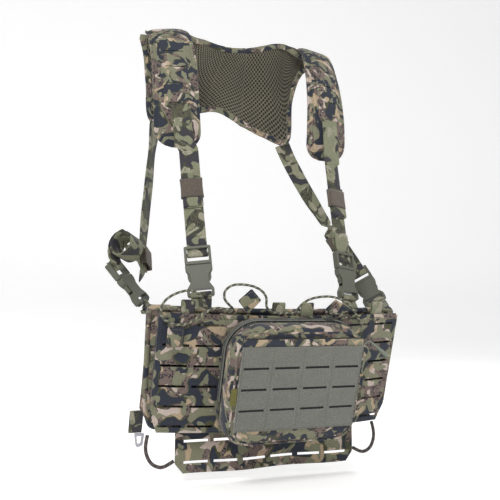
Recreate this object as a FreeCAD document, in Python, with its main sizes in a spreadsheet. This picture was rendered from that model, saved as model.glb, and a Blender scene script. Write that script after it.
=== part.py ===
"""Chest rig on a padded harness: a parametric FreeCAD document, one STEP file per piece.

Row frame: millimetres, +Z up, the wearer stands at +Y of the panel and faces -Y.
Left and right are those of somebody looking at the front of the rig: left is -X.
The origin lies between the undersides of the two shoulder pads, at the top of the shoulders.
"""

import FreeCAD, Part
import math
import os
from FreeCAD import Matrix, Placement, Rotation, Vector

DRIVING_SIZES = [
    ("panel_width", 330.0, "back panel, side to side along its curve"),
    ("panel_foot_width", 314.0, "back panel at its lower edge"),
    ("panel_height", 151.0, "back panel, along its own slope"),
    ("panel_radius", 970.0, "plan curve of the panel round the wearer"),
    ("panel_tilt", 18.5, "degrees: the top of the panel leans forward"),
    ("panel_top_y", -128.0, "rear face of the panel at the middle of its top edge"),
    ("panel_top_z", -388.5, "height of the panel's top edge"),
    ("padding", 5.0, "thickness of the padded back panel"),
    ("laminate", 2.0, "thickness of the slotted front laminate"),
    ("pocket_depth", 20.0, "clear depth of a magazine pocket"),
    ("pocket_pitch", 79.0, "width of one magazine pocket"),
    ("pocket_count", 4.0, "magazine pockets side by side"),
    ("ladder_pitch", 38.1, "webbing ladder, column to column"),
    ("ladder_rise", 25.4, "webbing ladder, row to row"),
    ("slot_length", 31.0, "one cut slot, end to end"),
    ("slot_gap", 3.2, "height of a cut slot"),
    ("webbing_width", 25.0, "strap webbing"),
    ("webbing_ply", 1.5, "one ply of strap webbing"),
    ("pouch_width", 166.0, "front pouch, side to side"),
    ("pouch_height", 142.0, "front pouch, along its slope"),
    ("pouch_base_depth", 12.7, "pouch behind the zipper"),
    ("pouch_lid_depth", 32.0, "pouch in front of the zipper"),
    ("pouch_wall", 1.6, "pouch fabric with its binding"),
    ("pouch_corner", 35.0, "radius of the pouch's upper corners"),
    ("pouch_foot_corner", 28.0, "radius of the pouch's lower corners"),
    ("zipper_width", 2.6, "how far the zipper stands out of the pouch wall"),
    ("zipper_half", 2.4, "one side of the zipper chain, front to back"),
    ("buckle_width", 33.0, "side-release buckle"),
    ("buckle_depth", 9.0, "side-release buckle, front to back"),
    ("flap_width", 243.0, "lower flap"),
    ("flap_height", 54.0, "lower flap below the panel"),
    ("retention_cord", 3.0, "diameter of the magazine retention cord"),
    ("side_cord", 4.4, "diameter of the cord beside the lower flap"),
]

GAP = 0.3
SIDES = (("left", -1), ("right", 1))

doc = FreeCAD.newDocument("chest_rig")
sheet = doc.addObject("Spreadsheet::Sheet", "Sizes")
nodes = {}


def fill_sheet():
    """Write each driving size beside its meaning and give the cell its alias."""
    for row, (alias, value, meaning) in enumerate(DRIVING_SIZES, start=1):
        sheet.set(f"A{row}", meaning)
        sheet.set(f"B{row}", str(value))
        sheet.setAlias(f"B{row}", alias)
    doc.recompute()


def size(alias):
    """A driving size as a number."""
    return float(sheet.get(alias))


def node(name, feature):
    """Give a finished feature the label that names its STEP file."""
    feature.Label = name
    nodes[name] = feature
    return feature


def bind(feature, **rules):
    """Bind properties of a feature to expressions over the sheet's aliases."""
    for name, rule in rules.items():
        for alias, _, _ in DRIVING_SIZES:
            rule = rule.replace(f"<{alias}>", f"Sizes.{alias}")
        feature.setExpression(name, rule)


def solid_feature(name, shape, place=None):
    """A Part::Feature for a shape that no sketch or primitive describes."""
    feature = doc.addObject("Part::Feature", name)
    feature.Shape = shape
    if place:
        feature.Placement = place
    return feature


def stand(at, up, facing):
    """Placement with local +Z along up and the local front, -Y, towards facing."""
    up = Vector(up).normalize()
    back = Vector(facing) * -1
    back = (back - up * back.dot(up)).normalize()
    side = back.cross(up)
    frame = Matrix(side.x, back.x, up.x, at[0], side.y, back.y, up.y, at[1],
                   side.z, back.z, up.z, at[2], 0, 0, 0, 1)
    return Placement(frame)


def moved(x, y, z):
    """A placement that only moves."""
    return Placement(Vector(x, y, z), Rotation())


def block(name, place, low, length, width, height):
    """A Part::Box from its low corner, with its three sides as sheet expressions or numbers."""
    box = doc.addObject("Part::Box", name)
    bind(box, Length=str(length), Width=str(width), Height=str(height))
    box.Placement = place * moved(*low)
    return box


def cut(name, base, tools):
    """Base minus tools."""
    tool = tools[0]
    if len(tools) > 1:
        tool = doc.addObject("Part::MultiFuse", name + "_tools")
        tool.Shapes = tools
    result = doc.addObject("Part::Cut", name)
    result.Base, result.Tool = base, tool
    return result


def group(name, members):
    """Several separate solids in one node."""
    result = doc.addObject("Part::Compound", name)
    result.Links = members
    return result


def curved_wall(name, half_width, inner, thickness, low, height):
    """A wall that follows the panel's plan curve, inner mm in front of its rear face."""
    centre = PANEL * moved(0, size("panel_radius"), low)
    rings = []
    for label, reach in (("outer", f"{inner} + {thickness}"), ("inner", f"{inner}")):
        ring = doc.addObject("Part::Cylinder", f"{name}_{label}")
        bind(ring, Radius=f"<panel_radius> + {reach}", Height=str(height))
        ring.Placement = centre
        rings.append(ring)
    shell = cut(name + "_shell", rings[0], [rings[1]])
    window = doc.addObject("Part::Box", name + "_window")
    bind(window, Length=f"2 * ({half_width})", Width="120", Height=str(height))
    window.Placement = PANEL * moved(-value(half_width), -60, low)
    wall = doc.addObject("Part::Common", name)
    wall.Base, wall.Tool = shell, window
    return wall


def value(rule):
    """The number that a sheet expression stands for."""
    for alias, _, _ in DRIVING_SIZES:
        rule = str(rule).replace(f"<{alias}>", str(size(alias)))
    return float(FreeCAD.Units.Quantity(rule).Value)


def ribbon(stations, offset, thickness):
    """A flat band through stations (centre, width direction, width).

    It lies offset mm along the band's normal, which is the width direction turned
    towards the run, and is thickness mm thick.
    """
    centres = [Vector(c) for c, _, _ in stations]
    wires = []
    for i, (_, across, width) in enumerate(stations):
        ahead = centres[min(i + 1, len(centres) - 1)] - centres[max(i - 1, 0)]
        across = Vector(across).normalize()
        across = (across - ahead * (across.dot(ahead) / ahead.dot(ahead))).normalize()
        normal = across.cross(ahead).normalize()
        corners = []
        for side, depth in ((-1, 0), (1, 0), (1, 1), (-1, 1)):
            lift = normal * (offset + depth * thickness)
            corners.append(centres[i] + across * (side * width / 2) + lift)
        wires.append(Part.makePolygon(corners + corners[:1]))
    return Part.makeLoft(wires, True, True)


def fan_sheet(edge_pairs, offset, thickness):
    """A sheet ruled between two edges, thickened to the rear from offset mm."""
    pairs = [(Vector(a), Vector(b)) for a, b in edge_pairs]
    wires = []
    for i, (a, b) in enumerate(pairs):
        before, after = pairs[max(i - 1, 0)], pairs[min(i + 1, len(pairs) - 1)]
        along = (after[0] + after[1]) - (before[0] + before[1])
        normal = along.cross(b - a).normalize()
        near, far = normal * offset, normal * (offset + thickness)
        wires.append(Part.makePolygon([a + near, b + near, b + far, a + far, a + near]))
    return Part.makeLoft(wires, True, True)


def cord_tube(name, points, diameter):
    """A tube of straight runs and tangent arcs through hand-chosen points."""
    points = [Vector(p) for p in points]
    runs = [(b - a).Length for a, b in zip(points, points[1:])]
    edges, cursor, radii = [], points[0], []
    for i in range(1, len(points) - 1):
        back = (points[i - 1] - points[i]).normalize()
        ahead = (points[i + 1] - points[i]).normalize()
        turn = math.pi - back.getAngle(ahead)
        trim = 0.45 * min(runs[i - 1], runs[i])
        radius = trim / math.tan(turn / 2)
        radii.append(radius)
        start, finish = points[i] + back * trim, points[i] + ahead * trim
        inward = (back + ahead).normalize()
        middle = points[i] + inward * (radius / math.cos(turn / 2) - radius)
        edges.append(Part.LineSegment(cursor, start).toShape())
        edges.append(Part.Arc(start, middle, finish).toShape())
        cursor = finish
    edges.append(Part.LineSegment(cursor, points[-1]).toShape())
    spine = Part.Wire(edges)
    ring = Part.Wire(Part.makeCircle(diameter / 2, points[0], points[1] - points[0]))
    tube = spine.makePipeShell([ring], True, False)
    ideal = math.pi * diameter ** 2 / 4 * spine.Length
    print(f"{name}: {spine.Length:.1f} mm, volume {tube.Volume / ideal:.3f} of section times length,"
          f" radii {[round(r, 1) for r in radii]}")
    return tube


def rounded_loop(points):
    """Lines and arcs round a closed outline of (x, y, corner radius) points."""
    count, pieces, ends = len(points), [], []
    for i, (x, y, radius) in enumerate(points):
        corner = Vector(x, y, 0)
        back = (Vector(*points[i - 1][:2], 0) - corner).normalize()
        ahead = (Vector(*points[(i + 1) % count][:2], 0) - corner).normalize()
        turn = math.pi - back.getAngle(ahead)
        if radius == 0 or turn < 0.01:
            ends.append((corner, corner))
            continue
        reach = radius * math.tan(turn / 2)
        start, finish = corner + back * reach, corner + ahead * reach
        inward = (back + ahead).normalize()
        middle = corner + inward * (radius / math.cos(turn / 2) - radius)
        pieces.append(Part.Arc(start, middle, finish))
        ends.append((start, finish))
    for i in range(count):
        start, finish = ends[i][1], ends[(i + 1) % count][0]
        if (finish - start).Length > 1e-6:
            pieces.append(Part.LineSegment(start, finish))
    return pieces


def rectangle(left, right, low, high, radius=0.0):
    """A rectangle as outline points."""
    return [(left, low, radius), (right, low, radius), (right, high, radius), (left, high, radius)]


def body(name, place):
    """A PartDesign body in its place."""
    result = doc.addObject("PartDesign::Body", name)
    result.Placement = place
    return result


def sketch(owner, name, loops, forward=0.0):
    """A sketch on the body's XZ plane, forward mm towards the front (-Y)."""
    result = owner.newObject("Sketcher::SketchObject", f"{owner.Name}_{name}")
    plane = next(f for f in owner.Origin.OriginFeatures if f.Role == "XZ_Plane")
    result.AttachmentSupport = (plane, [""])
    result.MapMode = "FlatFace"
    result.AttachmentOffset = moved(0, 0, forward)
    for loop in loops:
        result.addGeometry(rounded_loop(loop), False)
    return result


def pad(owner, name, loops, length, forward=0.0):
    """Material from the sketch towards the front."""
    result = owner.newObject("PartDesign::Pad", f"{owner.Name}_{name}_pad")
    result.Profile = sketch(owner, name, loops, forward)
    bind(result, Length=str(length))
    owner.Tip = result
    doc.recompute()
    return result


def pocket(owner, name, loops, length, forward, towards_front):
    """A recess from the sketch, either towards the front or towards the back."""
    before = owner.Shape.Volume
    result = owner.newObject("PartDesign::Pocket", f"{owner.Name}_{name}_pocket")
    result.Profile = sketch(owner, name, loops, forward)
    bind(result, Length=str(length))
    result.Reversed = towards_front
    owner.Tip = result
    doc.recompute()
    if owner.Shape.Volume > before - 0.01:
        raise ValueError(f"{owner.Name}: the pocket {name} cuts nothing")
    return result


def soften(owner, radius, wanted):
    """Round the edges of the body whose every vertex passes the test."""
    base = owner.Tip
    names = [f"Edge{i}" for i, edge in enumerate(base.Shape.Edges, start=1)
             if all(wanted(vertex.Point) for vertex in edge.Vertexes)]
    result = owner.newObject("PartDesign::Fillet", f"{owner.Name}_fillet")
    result.Base = (base, names)
    bind(result, Radius=str(radius))
    owner.Tip = result
    doc.recompute()
    return result


fill_sheet()
PANEL = Placement(Vector(0, size("panel_top_y"), size("panel_top_z")),
                  Rotation(Vector(1, 0, 0), size("panel_tilt")))
WEBBING = size("webbing_width")
STRAP = 2 * size("webbing_ply")
LAMINATE_INNER = size("padding") + size("pocket_depth")
LAMINATE_OUTER = LAMINATE_INNER + size("laminate")


def bow(x):
    """How far the panel's curve lies behind its middle, x mm to the side."""
    radius = size("panel_radius")
    return radius - math.sqrt(radius ** 2 - x ** 2)


# ---- harness ------------------------------------------------------------------------------

# The pad's middle surface on the right, from its tip in front to the shoulder: centre, width.
PAD_RUN = [((108, -43, -172), 38), ((109, -43.5, -160), 53), ((110.5, -43, -135), 59),
           ((112, -38, -95), 60), ((112.5, -29, -58), 60), ((113.5, -15, -25), 58),
           ((115, 0, -3), 57), ((115.5, 11, 5), 56)]
PAD_TURNS = (4, 4, 5, 8, 11, 14, 16, 18)
# Each layer: how far its front and rear lie from the middle surface, and how much wider it is.
PAD_LAYERS = (("pad_cover", 3.5, 2.0, 0), ("pad_foam", -3.5, 7.0, 4), ("pad_lining", -5.5, 2.0, 8))
# The harness hangs a little to the left: how far each pad's tip lies off its place.
HARNESS_SHIFT = -3.0

# The yoke from the left shoulder to the right: neck edge, then arm or lower edge.
YOKE_EDGES = [((-89, 13.5, 4), (-148, 28, 1)), ((-82, 18.5, 8), (-141, 31, -25)),
              ((-68, 28, 9), (-136, 36, -65)), ((-52, 32, 9), (-128, 37, -118)),
              ((-32, 36, 7), (-74, 44, -99)), ((-6, 38.5, 6.5), (-28, 47, -89)),
              ((20, 38, 9), (18, 51, -106)), ((43, 34, 14), (52, 53, -118)),
              ((60, 29, 18), (90, 51, -124)), ((73, 23, 17), (94, 45, -60)),
              ((82, 17, 11), (108, 32, -16)), ((89, 13.5, 5), (146, 27.5, 2))]


def pad_stations(side, wider=0.0):
    """Stations of one pad from its tip to the shoulder."""
    stations, lowest = [], PAD_RUN[0][0][2]
    for ((x, y, z), width), turn in zip(PAD_RUN, PAD_TURNS):
        turn = math.radians(turn)
        across = (math.cos(turn), side * math.sin(turn), 0)
        shift = HARNESS_SHIFT * max(0.0, z / lowest)
        stations.append(((side * x + shift, y, z), across, width + wider))
    return stations


def make_pads():
    """Two shoulder pads, each of a camouflage cover, foam and a mesh lining."""
    layers = {name: [] for name, _, _, _ in PAD_LAYERS}
    for side_name, side in SIDES:
        for name, offset, thickness, wider in PAD_LAYERS:
            shape = ribbon(pad_stations(side, wider), offset, thickness)
            layers[name].append(solid_feature(f"{name}_{side_name}", shape))
    for feature, (side_name, _) in zip(layers["pad_cover"], SIDES):
        node(f"pad_cover_{side_name}", feature)
    node("pad_foam", group("pad_foam", layers["pad_foam"]))
    node("pad_lining", group("pad_lining", layers["pad_lining"]))


def make_pad_strips():
    """A cut-slot strip sewn along each pad."""
    strips = []
    for side_name, side in SIDES:
        run = [(centre, across, 36) for centre, across, _ in pad_stations(side)[2:6]]
        strips.append(solid_feature(f"pad_strip_{side_name}", ribbon(run, 5.9, 1.0)))
    node("pad_slot_strips", group("pad_slot_strips", strips))


def make_yoke():
    """The yoke across the shoulder blades: a cover behind and spacer mesh before it."""
    mesh_thickness, cover_thickness = 4.0, 2.0
    mesh = fan_sheet(YOKE_EDGES, -mesh_thickness, mesh_thickness)
    cover = fan_sheet(YOKE_EDGES, 0, cover_thickness)
    node("yoke_mesh", solid_feature("yoke_mesh", mesh))
    node("yoke_cover", solid_feature("yoke_cover", cover))


# ---- buckles and straps -------------------------------------------------------------------

# Each side-release buckle: its middle, the way its strap runs up, and the way it faces.
BUCKLES = {
    "front_left": ((-100.6, -106.8, -340.8), (-0.021, 0.2417, 0.97), (-0.309, -0.951, 0)),
    "front_right": ((101.7, -106.5, -342), (0.021, 0.2417, 0.97), (0.309, -0.951, 0)),
    "rear_left": ((-176, -48, -353), (-0.605, 0.154, 0.776), (-0.59, 0.571, -0.573)),
    "rear_right": ((173, -38, -352), (-0.12, 0.66, 0.74), (0.62, 0.6, -0.5)),
}
MOUTH = 8.0
FOOT = -32.0
HALF = size("buckle_width") / 2
CAVITY_HALF = 14.7
SLEEVE_TOP = 59.0
STRAP_END = 53.0
STRAP_BACK = 2.0
BAR_LOW, BAR_HIGH = 20.0, 24.0
PRONG_PIVOT = (12.0, 6.0)


def buckle_place(name):
    return stand(*BUCKLES[name])


def make_female(name):
    """The socket half: a waisted shell open at the mouth and sides, with a webbing bar."""
    place = buckle_place(name)
    depth = size("buckle_depth")
    shell = body(f"buckle_socket_{name}", place)
    outline = [(HALF, MOUTH, 1.5), (HALF, 1, 3), (11.6, -6, 4), (11.4, -15, 8), (HALF, -23, 5),
               (HALF, FOOT, 3)]
    outline += [(-x, z, radius) for x, z, radius in reversed(outline)]
    pad(shell, "shell", [outline], "<buckle_depth>", -depth / 2)
    soften(shell, 1.2, lambda p: abs(abs(p.y) - depth / 2) < 0.01)
    cavity = rectangle(-CAVITY_HALF, CAVITY_HALF, -15, MOUTH + 1)
    pocket(shell, "cavity", [cavity], 5.4, -2.7, True)
    slot = rectangle(-13.2, 13.2, -27.5, -23, 0.8)
    pocket(shell, "slot", [slot], depth + 2, -depth / 2 - 1, True)
    for label, forward, towards_front in (("bar_back", -depth / 2 - 1, True),
                                          ("bar_front", depth / 2 + 1, False)):
        relief = rectangle(-12.8, 12.8, FOOT - 1, -24)
        pocket(shell, label, [relief], 2.5, forward, towards_front)
    node(f"buckle_socket_{name}", shell)


def make_male(name):
    """The latch half: a ladder frame for the strap and a tongue that guides it home."""
    latch = body(f"buckle_latch_{name}", buckle_place(name))
    frame = rectangle(-HALF, HALF, MOUTH + GAP, 32, 2)
    window = rectangle(-13.2, 13.2, 12.8, 28.3, 1)
    pad(latch, "frame", [frame, window], 8, -3.8)
    soften(latch, 1.0, lambda p: abs(p.y + 4.2) < 0.01)
    pad(latch, "bar", [rectangle(-14, 14, BAR_LOW, BAR_HIGH)], 3.4, -3.7)
    pad(latch, "tongue", [rectangle(-3.5, 3.5, -10, MOUTH + 1)], 3.6, -1.8)
    relief = rectangle(-13.2, 13.2, 27.5, 33)
    pocket(latch, "strap_way", [relief], 6.1, -4.8, True)
    node(f"buckle_latch_{name}", latch)


def make_prongs(name):
    """Two springy prongs in the socket, pressed inwards to let the latch go."""
    outline = [(10.6, MOUTH, 0.4), (13.4, MOUTH, 0.4), (13.4, -0.5, 2), (14.4, -4, 2),
               (14.4, -8.5, 2), (12.8, -12.5, 0.8), (11, -12.5, 0.8), (10.6, -6, 3)]
    for side_name, side in SIDES:
        prong = body(f"buckle_prong_{name}_{side_name}", buckle_place(name))
        points = [(side * x, z, radius) for x, z, radius in outline]
        pad(prong, "prong", [points], 4.6, -2.3)
        node(f"buckle_prong_{name}_{side_name}", prong)


def make_strap_loop(name, top):
    """The folded end of the strap round the latch's bar, open at its top."""
    place = buckle_place(name)
    outer = block(f"loop_outer_{name}", place, (-12.5, STRAP_BACK - 3, BAR_LOW - 1.4),
                  "<webbing_width>", 6, top - BAR_LOW + 1.4)
    inner = block(f"loop_inner_{name}", place, (-13, STRAP_BACK - 1.8, BAR_LOW - 0.2),
                  26, 3.6, top - BAR_LOW + 1)
    node(f"strap_loop_{name}", cut(f"strap_loop_{name}", outer, [inner]))


def strap_points(name, heights):
    """Stations of the strap where it runs straight above a buckle."""
    place = buckle_place(name)
    across = place.Rotation.multVec(Vector(1, 0, 0))
    return [(place.multVec(Vector(0, STRAP_BACK, high)), across, WEBBING) for high in heights]


def make_front_straps():
    """Front straps from the pads down to the buckles."""
    turn = math.radians(PAD_TURNS[3])
    for side_name, side in SIDES:
        across = (math.cos(turn), side * math.sin(turn), 0)
        run = strap_points(f"front_{side_name}", (STRAP_END, 124, 170))
        run += [((side * 107, -62, -176), across, WEBBING),
                ((side * 109.5, -53.2, -134), across, WEBBING),
                ((side * 110, -50.4, -116), across, WEBBING)]
        shape = ribbon(run, -STRAP / 2, STRAP)
        node(f"front_strap_{side_name}", solid_feature(f"front_strap_{side_name}", shape))


# Rear straps from the yoke's corners, down to where the straight run above the buckle starts.
REAR_RUNS = {
    "right": [((148, 42.5, -246), (0.8, 0.35, 0.3)), ((124, 51, -205), (0.85, 0.1, 0.5)),
              ((98, 56.5, -158), (0.87, 0, 0.5)), ((82, 55, -128), (0.87, -0.05, 0.45))],
    "left": [((-147, -1, -304), (0.5, 0.86, 0)), ((-142, 10, -262), (0.6, 0.8, 0)),
             ((-136, 18, -215), (0.6, 0.8, 0)), ((-130, 28, -168), (0.52, 0.85, 0)),
             ((-124, 35, -121.5), (0.72, 0.69, 0))],
}


def make_rear_straps():
    """Rear straps; the left one ends in its keeper, above the slack that a pull takes up."""
    across = (0.5, 0.86, 0)
    runs = {"right": strap_points("rear_right", (STRAP_END, 108)),
            "left": [((-148, -12, -333), across, WEBBING)]}
    for side_name, run in runs.items():
        run += [(centre, width_way, WEBBING) for centre, width_way in REAR_RUNS[side_name]]
        shape = ribbon(run, -STRAP / 2, STRAP)
        node(f"rear_strap_{side_name}", solid_feature(f"rear_strap_{side_name}", shape))


def sleeve(name, place, low, outer, wall):
    """An elastic keeper: a short rectangular tube round the webbing."""
    wide, deep, high = outer
    shell = block(f"{name}_outer", place, low, wide, deep, high)
    hole = block(f"{name}_hole", place, (low[0] + wall, low[1] + wall, low[2] - 1),
                 wide - 2 * wall, deep - 2 * wall, high + 2)
    return cut(name, shell, [hole])


def make_keepers_and_tails():
    """Elastic keepers, and the tucked or rolled strap ends that they hold."""
    keepers, tails = [], []
    for side_name, _ in SIDES:
        place = buckle_place(f"front_{side_name}")
        keepers.append(sleeve(f"front_keeper_{side_name}", place, (-14.5, -2.9, 98),
                              (29, 7.6, 25), 1.0))
        tails.append(block(f"front_tail_{side_name}", place, (-12.5, -1.4, 83),
                           "<webbing_width>", "<webbing_ply>", 43))
    keepers.append(sleeve("rear_keeper_right", buckle_place("rear_right"), (-14.5, -1.2, 84),
                          (29, 6.4, 22), 1.0))
    across = stand((-148, -7, -319), (0.03, 0.36, 0.93), (-0.86, 0.5, 0))
    keepers.append(sleeve("rear_keeper_left", across, (-14.5, -3.4, -12), (29, 12, 25), 1.0))
    tails.append(rolled_tail())
    node("strap_keepers", group("strap_keepers", keepers))
    node("strap_tails", group("strap_tails", tails))


def rolled_tail():
    """The left rear strap's spare length, rolled up beside its keeper."""
    place = stand((-178.5, -51, -308.5), (-0.728, -0.611, 0.309), (0, 0, 1))
    outer = doc.addObject("Part::Cylinder", "roll_outer")
    inner = doc.addObject("Part::Cylinder", "roll_inner")
    bind(outer, Radius="17", Height="<webbing_width>")
    bind(inner, Radius="13.5", Height="<webbing_width> + 2")
    outer.Placement = place * moved(0, 0, -WEBBING / 2)
    inner.Placement = place * moved(0, 0, -WEBBING / 2 - 1)
    return cut("rolled_tail", outer, [inner])


def make_anchors():
    """Webbing that ties each buckle's socket to the panel, as one node of four pieces."""
    anchors = []
    for name in BUCKLES:
        side = -1 if name.endswith("left") else 1
        x = 101 if name.startswith("front") else 150
        place = buckle_place(name)
        ring = Part.makeBox(WEBBING, 7.6, 7.8, Vector(-12.5, -3.8, FOOT - 1.8))
        ring = ring.cut(Part.makeBox(26, 6.4, 5.2, Vector(-13, -3.2, FOOT - 0.4)))
        ring.Placement = place
        across = place.Rotation.multVec(Vector(1, 0, 0))
        sewn = PANEL.Rotation.multVec(Vector(1, side * x / size("panel_radius"), 0))
        if name.startswith("rear"):
            sewn = -sewn
        rear = bow(x) + 1.4
        run = [(place.multVec(Vector(0, 0, FOOT - 1.4)), across, WEBBING)]
        if name == "rear_left":
            run += [(place.multVec(Vector(0, 0, FOOT - 12)), across, WEBBING),
                    (Vector(-150, -80, -392), sewn, WEBBING)]
        run += [(PANEL.multVec(Vector(side * x, rear + 4, 1)), sewn, WEBBING),
                (PANEL.multVec(Vector(side * x, rear, -8)), sewn, WEBBING),
                (PANEL.multVec(Vector(side * x, rear, -34)), sewn, WEBBING)]
        strip = ribbon(run, -0.8, 1.6)
        anchors.append(solid_feature(f"anchor_{name}", ring.fuse(strip).removeSplitter()))
    node("buckle_anchors", group("buckle_anchors", anchors))


# ---- chest panel --------------------------------------------------------------------------

def make_back_panel():
    """The padded panel against the wearer, curved in plan and narrower at its foot."""
    height = size("panel_height")
    wall = curved_wall("panel_band", "<panel_width> / 2", "0", "<padding>", -height,
                       "<panel_height>")
    outline = body("panel_outline", PANEL)
    top, foot = size("panel_width") / 2, size("panel_foot_width") / 2
    corners = [(-top, 0, 4), (top, 0, 4), (foot + 3, -height + 24, 6), (foot - 6, -height, 6),
               (6 - foot, -height, 6), (-foot - 3, -height + 24, 6)]
    pad(outline, "outline", [corners], 80, -40)
    panel = doc.addObject("Part::Common", "back_panel")
    panel.Base, panel.Tool = wall, outline
    node("back_panel", panel)


def make_front_panel():
    """The slotted laminate in front of the magazine pockets."""
    half, foot = size("pocket_pitch") * size("pocket_count") / 2, -size("panel_height") + 5
    wall = curved_wall("laminate_band", "<pocket_pitch> * <pocket_count> / 2",
                       "<padding> + <pocket_depth>", "<laminate>", foot, "<panel_height> - 5")
    outline = body("laminate_outline", PANEL)
    corners = [(-half, 0, 3), (half, 0, 3), (half, foot + 24, 5), (half - 9, foot, 5),
               (9 - half, foot, 5), (-half, foot + 24, 5)]
    pad(outline, "outline", [corners], 60, -10)
    trimmed = doc.addObject("Part::Common", "laminate_trimmed")
    trimmed.Base, trimmed.Tool = wall, outline
    slots = []
    for column in (-3.5, -2.5, 2.5, 3.5):
        for row in range(6):
            x = column * size("ladder_pitch") - size("slot_length") / 2
            x += math.copysign(2.5, column)
            z = -12.5 - row * size("ladder_rise")
            slots.append(block("slot", PANEL, (x, -40, z), "<slot_length>", 40, "<slot_gap>"))
    node("front_panel", cut("front_panel", trimmed, slots))


# The outer walls stop where the laminate's lower corners are cut off.
POCKET_WALL_FOOT = (-120.0, -143.5, -143.5, -143.5, -120.0)


def make_pocket_walls():
    """The floor and the five upright walls of the four magazine pockets."""
    floor = curved_wall("floor_band", "<pocket_pitch> * <pocket_count> / 2 - 10",
                        "<padding> + 0.4", "<pocket_depth> - 0.8",
                        5 - size("panel_height"), "2")
    node("pocket_floor", floor)
    walls, count = [], int(size("pocket_count"))
    for i in range(count + 1):
        x = (i - count / 2) * size("pocket_pitch")
        x = max(-155.0, min(155.0, x))
        low = (x - 0.8, bow(x) - LAMINATE_INNER + 0.4, POCKET_WALL_FOOT[i])
        walls.append(block("pocket_wall", PANEL, low, 1.6, "<pocket_depth> - 0.8",
                           -4 - POCKET_WALL_FOOT[i]))
    node("pocket_walls", group("pocket_walls", walls))


def make_webbing_loops():
    """Short webbing loops on the laminate's top edge and folded tabs at its lower corners."""
    loops = []
    for x in (-125, -15, 23, 125):
        low = (x - 8, bow(x) - LAMINATE_INNER + 2.4, -5)
        loops.append(block("top_loop", PANEL, low, 16, 2, 22))
    for x in (-166.5, 150):
        low = (x - 8, 15.5, -161)
        loops.append(block("corner_loop", PANEL, low, 16, 3, 30))
    node("webbing_loops", group("webbing_loops", loops))


def make_corner_hook():
    """A small open hook that swings from the left lower corner's webbing."""
    hook = body("corner_hook", PANEL * moved(-161, 17, -162.5))
    outline = [(-6, 0, 1), (6, 0, 1), (5, -16, 3), (-3, -18, 3)]
    hole = [(-3.4, -3, 1), (3.4, -3, 1), (2.6, -13.5, 1.4), (-1.4, -14.5, 1.4)]
    pad(hook, "hook", [outline, hole], 3, -1.5)
    node("corner_hook", hook)


# ---- front pouch --------------------------------------------------------------------------

POUCH_REAR = LAMINATE_OUTER + GAP
POUCH_PART = POUCH_REAR + size("pouch_base_depth")
LID_REAR = POUCH_PART + GAP
LID_FRONT = LID_REAR + size("pouch_lid_depth")
ZIP_END = -97.0


def pouch_outline(grow):
    half, top, foot = size("pouch_width") / 2 + grow, size("pouch_corner"), size("pouch_foot_corner")
    low = -size("pouch_height") - grow
    return [(-half, low, foot + grow), (half, low, foot + grow),
            (half, grow, top + grow), (-half, grow, top + grow)]


def make_pouch():
    """A clamshell pouch: a shallow base on the laminate and a deep lid in front."""
    wall = size("pouch_wall")
    base = body("pouch_base", PANEL * moved(0, -POUCH_REAR, 0))
    pad(base, "outside", [pouch_outline(0)], "<pouch_base_depth>")
    pocket(base, "inside", [pouch_outline(-wall)], "<pouch_base_depth> - <pouch_wall>",
           size("pouch_base_depth"), False)
    node("pouch_base", base)
    lid = body("pouch_lid", PANEL * moved(0, -LID_REAR, 0))
    depth = size("pouch_lid_depth")
    pad(lid, "outside", [pouch_outline(0)], "<pouch_lid_depth>")
    soften(lid, 7, lambda p: abs(p.y + depth) < 0.01)
    pocket(lid, "inside", [pouch_outline(-wall)], "<pouch_lid_depth> - <pouch_wall> - 4", 0, True)
    node("pouch_lid", lid)


def make_zipper():
    """The two sides of the zipper, an arch from low on the left to low on the right."""
    half, reach = size("zipper_half"), size("zipper_width")
    arch = [(p[0], ZIP_END if i < 2 else p[1], 0 if i < 2 else p[2])
            for i, p in enumerate(pouch_outline(reach))]
    inner = [(p[0], ZIP_END if i < 2 else p[1], 0 if i < 2 else p[2])
             for i, p in enumerate(pouch_outline(0.1))]
    outline = [arch[1], arch[2], arch[3], arch[0], inner[0], inner[3], inner[2], inner[1]]
    for name, rear in (("zipper_base_side", POUCH_PART - half), ("zipper_lid_side", LID_REAR)):
        chain = body(name, PANEL * moved(0, -rear, 0))
        pad(chain, "chain", [outline], "<zipper_half>")
        node(name, chain)


# Each slider: its middle on the zipper, the turn about the panel's Y axis that lays it there.
SLIDERS = {"top": ((44, 2.9), 0.0), "side": ((85.9, -40), 90.0)}


def slider_place(name):
    (x, z), turn = SLIDERS[name]
    return (PANEL * moved(x, -(POUCH_PART + GAP / 2), z)
            * Placement(Vector(), Rotation(Vector(0, 1, 0), turn)))


def make_sliders():
    """Two zipper sliders with a bridge each, and the pulls that swing from the bridges."""
    for name in SLIDERS:
        place = slider_place(name)
        slider = body(f"zipper_slider_{name}", place)
        plate = [(-5.5, 0.1, 0), (5.5, 0.1, 0), (5.5, 1.7, 0.6), (-5.5, 1.7, 0.6)]
        pad(slider, "plate", [plate], 7.6, -3.8)
        bridge = [(-4, 1.5, 0), (-2.6, 1.5, 0), (-2.6, 3.2, 0.8), (2.6, 3.2, 0.8), (2.6, 1.5, 0),
                  (4, 1.5, 0), (4, 4.6, 1.2), (-4, 4.6, 1.2)]
        pad(slider, "bridge", [bridge], 2.4, -1.2)
        node(f"zipper_slider_{name}", slider)


def pull_solid(points, radii):
    """A cord stub and a tapered grip along points, as one solid."""
    pieces = []
    for a, b, near, far in zip(points, points[1:], radii, radii[1:]):
        a, b = Vector(*a), Vector(*b)
        run = b - a
        if abs(near - far) < 1e-6:
            pieces.append(Part.makeCylinder(near, run.Length, a, run))
        else:
            pieces.append(Part.makeCone(near, far, run.Length, a, run))
        pieces.append(Part.makeSphere(far, b))
    solid = pieces[0]
    for piece in pieces[1:]:
        solid = solid.fuse(piece)
    return solid.removeSplitter()


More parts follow.
